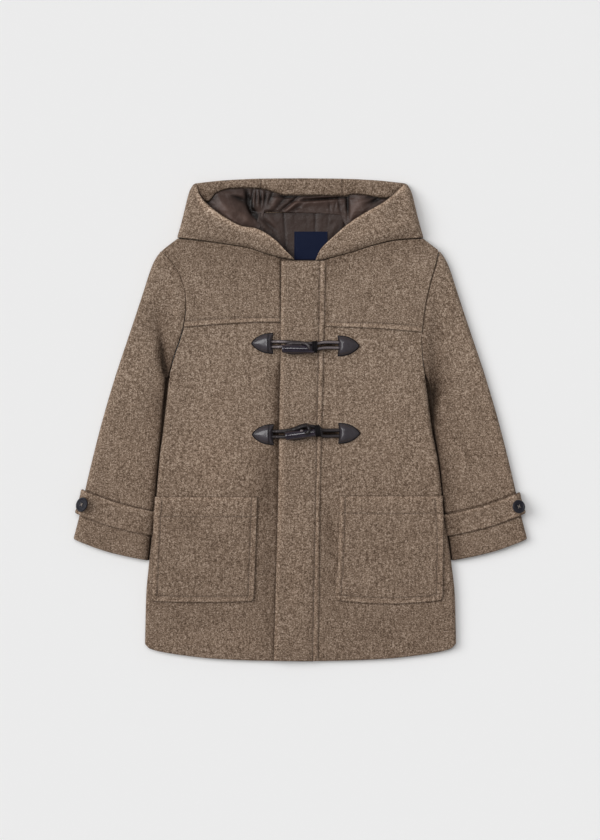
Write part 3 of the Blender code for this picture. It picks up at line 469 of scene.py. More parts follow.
PLACKET_HOLLOW = (  # y, how far the right front sinks beside the placket, how dark the painted shade there is, how far out
    (206, 0.8, 0.42, 4.5), (106, 1, 0.46, 4.5), (92, 1.2, 0.74, 8), (60, 1.4, 0.82, 11),
    (0, 1.8, 0.80, 11), (-40, 2, 0.68, 8), (-90, 2, 0.48, 6), (-130, 1.9, 0.52, 5.5),
    (-200, 1.4, 0.50, 5.5), (-313, 0.9, 0.48, 5),
)
BESIDE_PLACKET = np.array([-1.0, -0.2, 0.4, 0.9, 1.5, 2.2, 3.2, 4.6, 6.5, 9.0])
FRONT_NECK_GAP = 0.6


def front_top(x, y):
    """Height of the fronts' outer face, away from their rolled edges."""
    top = 2 * LINED_WALL + between(AIR, y) + folds(x, y, FRONT_FOLDS)
    return top + uneven(x, y, 46, 0.16, 3) + uneven(x, y, 17, 0.05, 4)


def front_surface(side, x, y):
    """Points of a front's outer face over the places x and y, and the directions that face out of it."""
    inset = np.clip(body_edge(side, y) - abs(x), 0, ROLL)
    sine = (ROLL - inset) / ROLL * rolled(y)
    cosine = np.sqrt(1 - sine**2)
    top = front_top(x, y)
    height = top - (top - MIDDLE - SEAM / 2) * (1 - cosine)
    return np.stack([x, y, height], -1), np.stack([side * sine, 0 * sine, cosine], -1)


for side, name, cad_name in ((-1, "front_panel_right", "front_right"), (1, "front_panel_left", "front_left")):
    column = 1 if side < 0 else 2
    outer, inner, shade = [], [], []
    for level in body_levels(3.4, 2.0):
        flat_end = body_edge(side, level) - ROLL
        start = side * (between(PLACKET_EDGES, level, 3) - UNDER_PLACKET + side * SEAM)
        beside = abs(between(PLACKET_EDGES, level, 1 if side < 0 else 3))
        near = np.concatenate([
            np.linspace(start, beside - 2, 13 if side < 0 else 3), beside + BESIDE_PLACKET,
            np.linspace(beside + BESIDE_PLACKET[-1], flat_end, 42)[1:],
        ])
        turn = math.pi / 2 * np.concatenate([np.zeros(len(near)), np.linspace(0, 1, 10)[1:]])
        half = np.concatenate([near, np.full(9, flat_end)]) + ROLL * np.sin(turn)
        sine = np.sin(turn) * rolled(level)
        cosine = np.sqrt(1 - sine**2)
        y = row_y(np.maximum(half, 0), level, FRONT_NECK, column)
        y = y - SEAM * smooth((level - SHOULDER_END_Y) / 8)
        top = front_top(side * half, y)
        off = half - beside
        # Painted shade by the neck seam, beside the placket and round the pockets; a painted highlight beside
        # the placket's seam edge.
        lit = 0.045 * folds(side * half, y, FRONT_FOLDS)
        from_neck = FRONT_NECK_GAP + between(FRONT_NECK, np.maximum(half, 0), column) - y
        lit = lit - 0.16 * np.exp(-abs(from_neck) / 5)
        if side < 0:
            hollow = between(PLACKET_HOLLOW, level)
            top = top - hollow * bell(off - 2, 7) + 0.25 * hollow * bell(off - 24, 9)
            depth, reach = between(PLACKET_HOLLOW, level, 2), between(PLACKET_HOLLOW, level, 3)
            lit = lit - depth * np.clip(1 - np.clip(off, 0, None) / reach, 0, 1) ** 1.1
        else:
            lit = lit + 0.22 * bell(off, 3.0)
        for row in POCKETS:
            if row[0] == side:
                out_x = np.clip(np.maximum(row[3] - half, half - row[5]), 0, None)
                out_y = np.clip(np.maximum(y - row[1], row[2] - y), 0, None)
                lit = lit - 0.10 * np.exp(-np.hypot(out_x, out_y) / 3)
        shade.append(lit)
        z = top - (top - MIDDLE - SEAM / 2) * (1 - cosine)
        outer.append(np.stack([side * half, y, z], -1))
        inner.append(np.stack([side * (half - LINED_WALL * sine), y, z - LINED_WALL * cosine], -1))
    front = cloth(name, np.array(outer), np.array(inner), wool, (1.2, 2.2, 1.0, 1.2), crease=np.array(shade))
    dressed(front, cad_name)
    width, area = (0.235, 0.111) if side < 0 else (0.19, 0.09)

# What lies on the fronts: the doubled shoulder yokes, with a topstitched lower edge, and the placket, a
# doubled band over the opening. The placket's free edge hides the opening, and its other edge is stitched
# down twice.
YOKE_LINE = ((20, 126.8, 122), (50, 126.6, 120.4), (100, 124.2, 118.4), (160, 119.4, 113.6))
YOKE_WALL = 2.2
YOKE_WIDTH, YOKE_DEPTH = 134, 110
YOKE_STITCHES = (6.2, 8.4)  # topstitching over the lower edge, at the placket and 125 mm further out
YOKE_RISE = YOKE_STITCHES[1] - YOKE_STITCHES[0]
PLACKET_WALL = 4.0
PLACKET_TOP, PLACKET_LENGTH, PLACKET_WIDTH = 206.5, 519, 56
PLACKET_STITCHED = 48.6  # where it is stitched down, from its free edge
CLEAR = 0.45  # between a panel and what is sewn on it
NECK_SEAM = 0.9


def laid(side, x, y, depth, relief):
    """The two faces of a piece that lies on a front."""
    point, facing = front_surface(side, x, y)
    inner = point + facing * CLEAR
    return point + facing * (CLEAR + depth + relief)[..., None], inner


def stitch_row(distance, depth=0.7, width=1.0):
    """The narrow trough that a row of stitches pulls into cloth, with a slight swell on both sides of it."""
    return -depth * bell(distance, width) + 0.25 * depth * bell(abs(distance) - 3, 1.8)


stitch_lines = []  # every row of topstitching: its points on the cloth
for side, name, cad_name in ((-1, "yoke_panel_right", "yoke_right"), (1, "yoke_panel_left", "yoke_left")):
    column = 1 if side < 0 else 2
    across = places(YOKE_WIDTH, 3.2, (0.8, 1.0)) / YOKE_WIDTH
    down = places(YOKE_DEPTH, 3.2, (0.8, 1.8), (YOKE_DEPTH - YOKE_STITCHES[0] - 0.8,)) / YOKE_DEPTH
    start = abs(float(between(PLACKET_EDGES, 170, 1 if side < 0 else 3))) + 1.0
    level = NECK_POINT_Y + (between(YOKE_LINE, 156, column) - NECK_POINT_Y) * down
    edge = body_edge(side, level)
    reach = edge - np.where(level > SHOULDER_END_Y, 0.9, 0.8)
    half = start + (reach - start)[:, None] * across
    top = between(FRONT_NECK, half, column) - NECK_SEAM
    foot = between(YOKE_LINE, half, column)
    y = top + (foot - top) * down[:, None]
    stitched = foot + YOKE_STITCHES[0] + YOKE_RISE * (half - start) / 125
    relief = stitch_row(y - stitched, 0.85) + 0.45 * bell(y - foot - 2.5, 3)
    relief = relief - 0.9 * bell(top - y, 2.6)
    # Painted shade and highlight at the lower edge and stitching, under the hood flap and beside the placket.
    lit = edge_shade(y - foot) + 0.06 * bell(y - foot - 4, 3) - 0.08 * bell(y - stitched, 1.2)
    lit = lit - 0.25 * np.exp(-np.clip(top - y, 0, None) / 14) + 0.15 * bell(top - y, 0.8)
    lit = lit - 0.18 * np.exp(-np.clip(top - y, 0, None) / 7) * smooth((75 - half) / 35)
    lit = lit - 0.25 * bell(half - start, 2.2)
    outer, inner = laid(side, side * half, y, np.full(half.shape, YOKE_WALL), relief)
    yoke = cloth(name, outer, inner, wool, (0.8, 1.3, 0.8, 0.8), crease=lit)
    dressed(yoke, cad_name)
    line_x = np.linspace(start + 1, 150, 40)
    line_y = between(YOKE_LINE, line_x, column) + YOKE_STITCHES[0]
    line_y = line_y + YOKE_RISE * (line_x - start) / 125
    point, facing = front_surface(side, side * line_x, line_y)
    stitch_lines.append(point + facing * (CLEAR + YOKE_WALL - 0.55))

rows = PLACKET_TOP - places(PLACKET_LENGTH, 3.4, (2.0, 2.2))
free, stitched, seam = (between(PLACKET_EDGES, rows, column) for column in (1, 2, 3))
across = places(PLACKET_WIDTH, 3.0, (2.0, 1.2), (PLACKET_STITCHED,))
share = np.interp(across, [0, PLACKET_STITCHED, PLACKET_WIDTH], [0, 1, 2])[None, :]
within = free[:, None] + (stitched - free)[:, None] * share
beyond = stitched[:, None] + (seam - stitched)[:, None] * (share - 1)
x = np.where(share < 1, within, beyond)
y = np.broadcast_to(rows[:, None], x.shape)
depth_at = [0, 4, 40, PLACKET_STITCHED, 52.3, PLACKET_WIDTH]
depth = np.interp(across, depth_at, [3.4, 4.0, 4.0, 2.7, 3.3, 1.5])[None, :]
band = bell(x - (stitched + 0.55 * (seam - stitched))[:, None], 2.6)
relief = 0.35 * band + stitch_row(x - stitched[:, None], 0.7, 0.9) + uneven(x, y, 30, 0.14, 8)
relief = relief + 0.8 * bell(x - free[:, None] - 2, 6)
relief = relief + band * 1.6 * bell(y - 196, 4.5) - 1.8 * smooth((y - 201) / 3) * band
relief = relief + 0.5 * bell(y - 202, 2.5)
# Painted shade and highlight along the placket's edges, its stitching and its top.
lit = edge_shade(x - free[:, None]) + 0.4 * edge_shade(seam[:, None] - x) + 0.20 * band
lit = lit + 0.10 * smooth((130 - y) / 40) * bell(x - free[:, None] - 4, 3.5)
lit = lit - 0.55 * smooth((112 - y) / 20) * bell(x - free[:, None], 1.2)
lit = lit - 0.14 * bell(x - stitched[:, None], 1.0) + 0.12 * bell(y - 200, 4) * (0.3 + band)
lit = lit - 0.25 * bell(206.5 - y, 1.2)
outer, inner = laid(1, x, y, np.broadcast_to(depth, x.shape), relief)
placket = cloth("placket_band", outer, inner, wool, (1.8, 2.0, 2.0, 1.2), crease=lit)
dressed(placket, "placket")
line_y = np.linspace(196, -309, 90)
point, facing = front_surface(1, between(PLACKET_EDGES, line_y, 2), line_y)
stitch_lines.append(point + facing * (CLEAR + 2.75))

# The patch pockets, one layer of melton with its edges turned in. Each is sewn on by a row 8 mm inside its
# sides and foot, and the hem of its open top is held by a row across it.
POCKET_WALL = 2.8
POCKET_INSET = 8.0
for side, top, foot, inner_top, inner_foot, outer_top, outer_foot, hem, drop in POCKETS:
    width, height = outer_top - inner_top, top - foot
    across = places(width, 3.2, (1.6, 1.6), (POCKET_INSET, width - POCKET_INSET))
    down = places(height, 3.2, (2.0, 1.6), (hem, height - POCKET_INSET))
    s, t = np.meshgrid(across / width, down / height)
    inside, outside = inner_top + (inner_foot - inner_top) * t, outer_top + (outer_foot - outer_top) * t
    y = top - height * t
    outside = np.minimum(outside, body_edge(side, y) - 1.1)
    half = inside + (outside - inside) * s
    y = y - drop * t * (1 - (2 * s - 1) ** 2)
    if side > 0:
        half = half + 1.6 * smooth((foot + 30 - y) / 4) * (1 - s) * -1 + 2.2 * bell(t - 0.4, 0.3) * s
    rounding = 3.0 * np.clip(1 - (1 - t) * height / 9, 0, 1) ** 2
    inner_turn = np.clip(1 - s * width / 9, 0, 1) ** 2
    outer_turn = np.clip(1 - (1 - s) * width / 9, 0, 1) ** 2
    half = half + rounding * (inner_turn - outer_turn)
    a, b = s * width, t * height
    below_hem = smooth((b - 1.0) / 2)
    relief = stitch_row(a - POCKET_INSET) * below_hem + stitch_row(width - a - POCKET_INSET) * below_hem
    relief = relief + stitch_row(height - b - POCKET_INSET) + 0.55 * stitch_row(b - hem)
    relief = relief + 0.35 * (bell(a - 4, 3) + bell(width - a - 4, 3))
    relief = relief + 0.35 * bell(height - b - 4, 3) + 0.5 * bell(b - 3, 4)
    relief = relief + 0.7 * np.sin(math.pi * s) ** 0.7 * np.sin(math.pi * t) ** 0.7
    relief = relief + uneven(a, b, 34, 0.22, 21 + side)
    x = side * half
    rim = np.minimum(np.minimum(a, width - a), np.minimum(b, height - b))
    near_side = np.minimum(abs(a - POCKET_INSET), abs(width - a - POCKET_INSET))
    rows_of_thread = np.minimum(near_side, abs(height - b - POCKET_INSET))
    # Painted shade at the turned edges and rows of stitching, and a painted highlight just inside the edges.
    lit = edge_shade(rim) - 0.10 * bell(rows_of_thread, 1.1) * below_hem - 0.07 * bell(b - hem, 1.1)
    lit = lit + 0.04 * bell(b - 9, 7)
    outer, inner = laid(side, x, y, np.full(x.shape, POCKET_WALL), relief)
    name = "pocket_patch_" + ("right" if side < 0 else "left")
    pocket = cloth(name, outer, inner, wool, (1.4, 1.3, 1.3, 1.3), crease=lit)
    dressed(pocket, "pocket_right" if side < 0 else "pocket_left")
    stitched_s = np.interp([POCKET_INSET, width - POCKET_INSET], across, np.arange(len(across)))
    stitched_t = np.interp([hem, height - POCKET_INSET, 3.0], down, np.arange(len(down)))
    first, last = (int(round(value)) for value in stitched_s)
    hem_row, foot_row, top_row = (int(round(value)) for value in stitched_t)
    lift = np.array([0, 0, 0.2])
    sewn = [outer[top_row:foot_row, first], outer[foot_row, first:last], outer[foot_row:top_row:-1, last]]
    stitch_lines.append(np.concatenate(sewn) + lift)
    stitch_lines.append(outer[hem_row, 2:-2] + lift)

# The sleeves, tubes of the lined melton, lie flat beside the body with their seams at the armhole and the
# wrist's hem turned in. Each cuff has a loose strap round it that a button holds.
SLEEVE_OUTER = (  # x, y along the outer fold from the shoulder to the cuff
    (180.5, SHOULDER_END_Y), (188.5, 208.5), (195.5, 192), (204.5, 164), (220, 117), (241, 54), (259, -8),
    (274.5, -70), (286, -121), (294.6, -154.5),
)
ARMHOLE_GAP = 0.03
SLEEVE_STAND = (  # y, distance of the sleeve's inner fold from the body
    (ARMPIT_Y, ARMHOLE_GAP), (46, 3.6), (28, 3.4), (5, 2.6), (-20, 1.5), (-45, 0.8), (-182.5, 0.9),
)
UNDER_REACH = 0.87  # radians of its roll down to which a sleeve's underside bulges in below the body's
# Painted shade on the sleeves: beside the body, at the armhole seam, at the strap's edges and on the
# underside that bulges in below the body.
SLEEVE_SHADE = {  # y, how dark the sleeve is beside the body, how far that reaches
    -1: (
        (220, 0, 6), (150, 0, 8), (125, 0.12, 10), (90, 0.30, 12), (66, 0.55, 8), (52, 0.82, 5.5),
        (38, 0.68, 4.5), (22, 0.50, 8), (0, 0.42, 10), (-45, 0.52, 7), (-183, 0.52, 9),
    ),
    1: (
        (220, 0, 8), (150, 0.08, 20), (104, 0.20, 22), (80, 0.28, 16), (61, 0.48, 16), (43, 0.72, 14),
        (27, 0.88, 8.4), (9, 0.88, 6.2), (-20, 0.68, 5.6), (-60, 0.55, 11), (-183, 0.55, 13),
    ),
}
ARMHOLE_SHADE = {-1: -0.10, 1: 0.40}
PAINTED_TACK_LIGHT = {  # x, y, direction, half width, half length, share: painted highlight and shade of the strap's small tack
    -1: (),
    1: ((246, -130, 90, 0.9, 5, 0.30), (243.8, -130, 90, 1.2, 5, -0.18)),
}
CUFF_HEM = ((294.6, -154.5), (278, -161.5), (253, -170.3), (225, -177.3), (198.2, -182.5))
CUFF_HEIGHT = 11.4
CUFF_KEPT = 64.0  # up to here the sleeve's two folds are measured alike from the hem
STRAP = {-1: (32.6, 65.0), 1: (32.2, 61.0)}  # where each cuff's strap starts and ends, from the hem
STRAP_WALL = 2.2
SLEEVE_FOLDS = {  # x, y, direction, half width, half length, height
    -1: (
        (-180.5, 98, 97, 7, 36, -3), (-176.5, 70, 99, 5, 20, -2.4), (-185, 126, 66, 9, 24, -1.3),
        (-200, 100, 80, 14, 60, 0.7), (-160, 150, 98, 6, 30, 1), (-196, 20, 76, 8, 70, -0.7),
        (-228, -6, 150, 8, 26, -0.6), (-204, -24, 20, 7, 26, 0.5), (-250, -60, 78, 9, 46, -0.5),
        (-222, -96, 12, 7, 34, -0.6), (-215, -60, 80, 9, 40, 0.5),
    ),
    1: (
        (178.5, 58, 96, 8, 50, -3.4), (176, 30, 98, 6, 30, -1.6), (184, 112, 104, 9, 26, -1.2),
        (202, 96, 104, 14, 60, 0.7), (168, 140, 84, 6, 30, 0.7), (204, 6, 104, 8, 70, -0.7),
        (232, -20, 30, 8, 26, -0.6), (206, -40, 165, 7, 26, 0.5), (255, -66, 102, 9, 46, -0.5),
        (224, -100, 168, 7, 34, -0.6), (217, -64, 100, 9, 40, 0.5),
    ),
}


def fine(points, steps=16):
    """A smooth curve through the points, as many short straight steps."""
    p = np.asarray(points, float)
    before = np.vstack([2 * p[0] - p[1], p[:-1]])
    after = np.vstack([p[1:], 2 * p[-1] - p[-2]])
    tangent = (after - before) / 2
    t = np.linspace(0, 1, steps, endpoint=False)[:, None]
    spans = [
        (2 * t**3 - 3 * t**2 + 1) * p[i] + (t**3 - 2 * t**2 + t) * tangent[i]
        + (3 * t**2 - 2 * t**3) * p[i + 1] + (t**3 - t**2) * tangent[i + 1]
        for i in range(len(p) - 1)
    ]
    return np.vstack([*spans, p[-1:]])


def along(line, distance):
    run = lengths(line)
    return np.stack([np.interp(distance, run, line[:, axis]) for axis in range(line.shape[1])], -1)


strap_faces = {}
sleeve_outer_fold = fine(SLEEVE_OUTER)[::-1]
armhole_levels = np.linspace(SHOULDER_END_Y, ARMPIT_Y, 41)
stand_levels = np.linspace(CUFF_HEM[-1][1], ARMPIT_Y, 90)
cuff_line = fine(CUFF_HEM)
sleeve_length = lengths(sleeve_outer_fold)[-1]
inner_fold, armhole = {}, {}
for side in (-1, 1):
    stand = body_edge(side, stand_levels) + between(SLEEVE_STAND, stand_levels)
    inner_fold[side] = np.stack([stand, stand_levels], -1)
    armhole[side] = np.stack([body_edge(side, armhole_levels) + ARMHOLE_GAP, armhole_levels], -1)


def sleeve_line(side, step):
    """The line across a sleeve, from its outer to its inner fold, at a distance from the hem."""
    inner_length = lengths(inner_fold[side])[-1]
    inner_step = step
    if step > CUFF_KEPT:
        inner_step = CUFF_KEPT + (step - CUFF_KEPT) / (sleeve_length - CUFF_KEPT) * (inner_length - CUFF_KEPT)
    start, end = along(sleeve_outer_fold, step), along(inner_fold[side], inner_step)
    hole = armhole[side]
    place = (lengths(hole) / lengths(hole)[-1])[:, None]
    bow_hole = hole - (hole[0] + (hole[-1] - hole[0]) * place)
    at_cuff = along(cuff_line, place[:, 0] * lengths(cuff_line)[-1])
    bow_cuff = at_cuff - (cuff_line[0] + (cuff_line[-1] - cuff_line[0]) * place)
    share = min(step / sleeve_length, 1)
    return start + (end - start) * place + bow_hole * share**2 + bow_cuff * (1 - share), inner_step


def slanted(line, edge, at):
    """How far along a line across the sleeve its roll reaches, longer where the two meet at a slant."""
    across, near = line[1] - line[0], along(edge, at + 1) - along(edge, at - 1)
    sine = abs(across[0] * near[1] - across[1] * near[0]) / (np.linalg.norm(across) * np.linalg.norm(near))
    return ROLL / max(sine, 0.6)


def sleeve_ring(side, step, over=34, fold=9):
    """Places round a sleeve from its outer fold over the top, the directions out of it, and their shade."""
    line, inner_step = sleeve_line(side, step)
    end_y = line[-1][1]
    share = min(step / sleeve_length, 1)
    height = CUFF_HEIGHT + (BODY_HEIGHT - CUFF_HEIGHT) * share
    total = lengths(line)[-1]
    reaches = [slanted(line, sleeve_outer_fold, step), slanted(line[::-1], inner_fold[side], inner_step)]
    turn = np.linspace(90, 0, fold)
    lean = np.radians(np.concatenate([-turn, np.zeros(over), turn[::-1]]))
    at = np.concatenate([
        reaches[0] * (1 - np.sin(np.radians(turn))),
        np.linspace(reaches[0], total - reaches[1], over + 2)[1:-1],
        total - reaches[1] * (1 - np.sin(np.radians(turn[::-1]))),
    ])
    point = along(line, at)
    ahead = along(line, np.minimum(at + 1, total)) - along(line, np.maximum(at - 1, 0))
    ahead /= np.linalg.norm(ahead, axis=1, keepdims=True)
    rise = height / 2 * np.cos(lean)
    facing = np.stack([ahead[:, 0] * np.sin(lean), ahead[:, 1] * np.sin(lean), np.cos(lean)], -1)
    creased = folds(side * point[:, 0], point[:, 1], SLEEVE_FOLDS[side])
    relief = creased + uneven(at + 300 * side, step, 42, 0.22, 5)
    relief = relief * np.cos(lean) ** 2 * smooth((sleeve_length - step) / 9)
    from_strap = [step - STRAP[side][0] + 0.7, step - STRAP[side][1] - 0.7]
    relief = relief + (stitch_row(from_strap[0], 0.8) + stitch_row(from_strap[1], 1.1)) * np.cos(lean)
    top = np.column_stack([point, height / 2 + rise]) + facing * relief[:, None]
    gap = max(float(between(SLEEVE_STAND, end_y)) - 0.6, 0)
    below = math.pi / 2 - lean
    drawn = (gap + 2 * ROLL * (1 - np.cos(np.minimum(below, UNDER_REACH)))) * smooth(below / 0.7)
    drawn = drawn * bell(np.clip(total - reaches[1] - at, 0, None), 12) * smooth((ARMPIT_Y - end_y) / 8)
    under = np.column_stack([point[:, 0] - drawn, point[:, 1], height / 2 - rise])
    hidden = total - at
    away = np.clip(point[:, 0] - body_edge(side, point[:, 1]) - between(SLEEVE_STAND, point[:, 1]), 0, None)
    depth, reach = (between(SLEEVE_SHADE[side], point[:, 1], column) for column in (1, 2))
    lit = -depth * np.exp(-((away / reach) ** 1.5))
    lit = lit + 0.05 * creased
    lit = lit + 0.05 * bell(at - 9, 7) + ARMHOLE_SHADE[side] * math.exp(-abs(sleeve_length - step) / 2.5)
    lit = lit - 0.10 * bell(from_strap[0], 1.1) - 0.34 * bell(from_strap[1], 1.1)
    flip = np.array([side, 1, 1])
    points = np.concatenate([top, under[-2:0:-1]]) * flip
    facing = np.concatenate([facing, (facing * (1, 1, -1))[-2:0:-1]]) * flip
    lit_under = -0.85 + 0.65 * smooth((hidden - ROLL) / 4)
    return points, facing, np.concatenate([lit, lit_under[-2:0:-1]])


for side, name, cad_name in (
    (-1, "sleeve_tube_right", "sleeve_right"), (1, "sleeve_tube_left", "sleeve_left"),
):
    strap_foot, strap_top = STRAP[side]
    steps = places(sleeve_length, 3.6, (2.2, 1.4), (strap_foot - 0.7, strap_top + 0.7))
    rings = [sleeve_ring(side, step) for step in steps]
    outer = np.array([points for points, *_ in rings])
    inner = np.array([points - facing * LINED_WALL for points, facing, _ in rings])
    lit = np.array([shade for *_, shade in rings])
    grain = np.repeat(steps[:, None], outer.shape[1] + 1, axis=1)
    sleeve = cloth(name, outer, inner, wool, (2.0, 0.9, 0, 0), True, grain, lit)
    dressed(sleeve, cad_name)

    columns = [*range(-2, 0), *range(52)]
    outer, inner, shade = [], [], []
    for step in places(strap_top - strap_foot, 2.6, (1.4, 1.4)) + strap_foot:
        points, facing, lit = (part[columns] for part in sleeve_ring(side, step))
        rim = min(step - strap_foot, strap_top - step)
        up_strap = (step - strap_foot) / (strap_top - strap_foot)
        slack = (5.0 - 2.0 * up_strap) * bell(np.arange(len(columns)) - 6, 6)[:, None]
        slack = slack + 0.5 * bell(rim - 3, 2.5)
        inner.append(points + facing * (CLEAR + slack * 0.8))
        outer.append(points + facing * (CLEAR + STRAP_WALL + slack))
        # Painted shade and highlight of the strap: its edges, its tack and the sleeve's shade under it.
        tack_light = folds(side * abs(points[:, 0]), points[:, 1], PAINTED_TACK_LIGHT[side])
        shade.append(0.9 * lit + (1.0 if strap_top - step < 12 else 0.25) * edge_shade(rim) + tack_light)
    outer, inner = np.array(outer), np.array(inner)
    strap_faces[side] = outer.reshape(-1, 3)
    grain = np.repeat(np.linspace(0, 33, len(outer))[:, None], outer.shape[1], axis=1) + 200
    strap = cloth(
        "cuff_strap_" + cad_name[7:], outer, inner, wool, (1.2, 1.2, 1.6, 1.2), False, grain, np.array(shade)
    )
    dressed(strap, "cuff_tab_" + cad_name[7:])

# The hood, three panels of melton: a middle one flat on the floor and two sides that each fold over to lie on
# top as a flap, down to the neck seam. A facing of the same wool is sewn inside its front edge.
WOOL_WALL = 2.6
HOOD_TOP = ((0, 313.3), (45, 313), (94, 311), (137, 306.5))  # half width, y
HOOD_FOLD = (  # share of the way from the face edge to the neck, half width, y, height
    (0, 138.6, 306.6, 9.5), (0.14, 144, 296.6, 15), (0.43, 149.4, 275.6, 21.5), (0.72, 154.6, 254.8, 21),
    (1, 160, NECK_POINT_Y + NECK_SEAM, 15),
)
CENTRE_PANEL = (-51.0, 55.0)
FACE_EDGE = {  # half width, y, from the top corner to the centre front
    -1: (
        (134.5, 302.5), (129.6, 288), (118.8, 276.6), (99.2, 263), (77.6, 251.8), (57.6, 248.6),
        (42.6, 241.4), (29.6, 231.4), (18.6, 219.4), (9, 210),
    ),
    1: (
        (135, 302.5), (112.4, 283.4), (82.4, 267.2), (60.8, 253.4), (43.4, 238.4), (28, 223.6),
        (20.8, 210.6),
    ),
}
HOOD_TIP = {-1: 7.7, 1: 19.5}
# Painted highlight along each flap's rolled rim, painted shade at its lip, and a painted highlight at the
# neck seam.
RIM_LIGHT = {-1: (1.0, 6.0, 2.1), 1: (1.08, 1.7, 1.15)}  # of a flap's rolled edge: gain, reach, its dark lip
FLAP_DEPTH = 46  # from the face edge to the neck seam
CENTRE_DEPTH, FACING_DEPTH = 45, 20
FLAP_CREST = ((0, 8), (0.25, 8), (0.6, 6), (1, 2.6))
FLAP_FOLDS = {  # x, y, direction, half width, half length, height
    -1: (
        (-118, 262, 120, 9, 20, -0.8), (-84, 243, 155, 7, 22, -1.2), (-52, 236, 150, 5, 18, 1),
        (-30, 221, 130, 4, 12, -0.7), (-128, 246, 100, 8, 12, 0.8), (-100, 240, 170, 6, 26, -0.6),
    ),
    1: (
        (120, 262, 60, 9, 22, -0.8), (88, 248, 28, 7, 26, 0.8), (60, 232, 30, 6, 22, -0.9),
        (36, 222, 50, 4, 12, 0.6), (132, 250, 86, 8, 12, 0.7), (104, 240, 12, 6, 24, -0.6),
    ),
}

for side, name, cad_name in (
    (-1, "hood_flap_right", "hood_side_right"), (1, "hood_flap_left", "hood_side_left"),
):
    column = 1 if side < 0 else 2
    seam_x = abs(CENTRE_PANEL[0] if side < 0 else CENTRE_PANEL[1]) + SEAM
    face = fine(FACE_EDGE[side])
    neck_half = np.linspace(160 - ROLL, HOOD_TIP[side], 30)
    neck = np.stack([neck_half, between(FRONT_NECK, neck_half, column) + 0.2], -1)
    outer, inner, shade = [], [], []
    for share in places(FLAP_DEPTH, 1.5, (2.4, 2.6)) / FLAP_DEPTH:
        fold_x, fold_y, fold_height = (float(between(HOOD_FOLD, share, column)) for column in (1, 2, 3))
        radius = fold_height / 2
        turn = fold_x - radius
        place = np.linspace(0, 1, 22)
        half = seam_x + (turn - seam_x) * place
        top, foot = between(HOOD_TOP, half), between(BACK_NECK, half) + NECK_SEAM
        y = top + (foot - top) * share
        y = y + (fold_y - y[-1]) * place**6
        under = np.stack([half, y, 0 * y], -1)
        angle = np.radians(np.linspace(0, 180, 15)[1:-1])
        round_x, round_z = np.sin(angle), 1 - np.cos(angle)
        thin = radius - WOOL_WALL
        turned = np.stack([turn + radius * round_x, 0 * angle + fold_y, radius * round_z], -1)
        turned_in = np.stack([turn + thin * round_x, 0 * angle + fold_y, WOOL_WALL + thin * round_z], -1)
        place = np.concatenate([np.linspace(0, 0.24, 12), np.linspace(0.24, 1, 54)[1:]])
        on_face, on_neck = along(face, place * lengths(face)[-1]), along(neck, place * lengths(neck)[-1])
        corner = (1 - share) * face[0] + share * neck[0]
        plan = (1 - share) * on_face + share * on_neck
        plan = plan + (1 - place[:, None]) ** 3 * (np.array([turn, fold_y]) - corner)
        swell = min(math.sqrt(max(1 - ((share - 0.35) / 0.65) ** 4, 0)), 0.74 + 0.9 * share)
        lift = smooth(place / 0.22)
        crest = HOOD_FOLD[-1][3] - 1.5 * share**8 + between(FLAP_CREST, place) * swell
        height = fold_height * (1 - lift) + crest * lift
        height = height + folds(side * plan[:, 0], plan[:, 1], FLAP_FOLDS[side]) * lift * smooth(share * 4)
        height = height + uneven(plan[:, 0], plan[:, 1], 34, 0.25, 31 + side) * lift
        rim = 1.7 * bell(share * FLAP_DEPTH - 2.5, 3.2) * lift
        from_face, from_neck = share * FLAP_DEPTH, (1 - share) * FLAP_DEPTH
        depth, reach, lip = RIM_LIGHT[side]
        lit = depth * math.exp(-max(from_face - 1.4 * lip, 0) / reach) - (depth + 0.80) * bell(from_face, lip)
        lit = lit + 0.75 * bell(from_neck, 1.3) - 0.06 * math.exp(-from_neck / 5)
        lit = lit + 0.05 * folds(side * plan[:, 0], plan[:, 1], FLAP_FOLDS[side])
        shade.append(np.concatenate([np.zeros(len(under)), np.zeros(len(turned)), lit]))
        over = np.column_stack([plan, height + 0.5 * rim])
        over_in = np.column_stack([plan, height - WOOL_WALL - 0.6 * rim])
        outer.append(np.concatenate([under, turned, over]))
        inner.append(np.concatenate([under + (0, 0, WOOL_WALL), turned_in, over_in]))
    flip = np.array([side, 1, 1])
    outer, inner = np.array(outer) * flip, np.array(inner) * flip
    flap = cloth(name, outer, inner, wool, (2.3, 2.4, 0.8, 1.6), crease=np.array(shade))
    dressed(flap, cad_name)

share = (places(CENTRE_DEPTH, 3, (1.2, 1.2)) / CENTRE_DEPTH)[:, None]
x = np.broadcast_to(np.linspace(*CENTRE_PANEL, 40), (len(share), 40))
top, foot = between(HOOD_TOP, abs(x)), between(BACK_NECK, abs(x)) + NECK_SEAM
under = np.stack([x, top + (foot - top) * share, 0 * x], -1)
hood_middle = cloth("hood_middle_panel", under, under + (0, 0, WOOL_WALL), wool, (1.2, 1.2, 0.8, 0.8))
dressed(hood_middle, "hood_centre")

FACING_REACH = 136.5
FACING_FOOT = (  # x, y
    (-136.5, 286), (-120, 283), (-108.7, 295), (-90.9, 300.6), (-68.4, 301.6), (-50.6, 300.6),
    (-32.6, 295.9), (-19.2, 292.2), (3.3, 292.1), (25.6, 291.8), (59.2, 291), (68, 293.6), (81.5, 292.5),
    (92.7, 290.8), (110.6, 288.1), (122, 290), (136.5, 297),
)


def from_rim(x, y):
    """How far places in the hood are from the rim of the nearer flap."""
    rims = np.concatenate([fine(FACE_EDGE[side], 8) * (side, 1) for side in (-1, 1)])
    return np.sqrt(((x[..., None] - rims[:, 0]) ** 2 + (y[..., None] - rims[:, 1]) ** 2).min(-1))


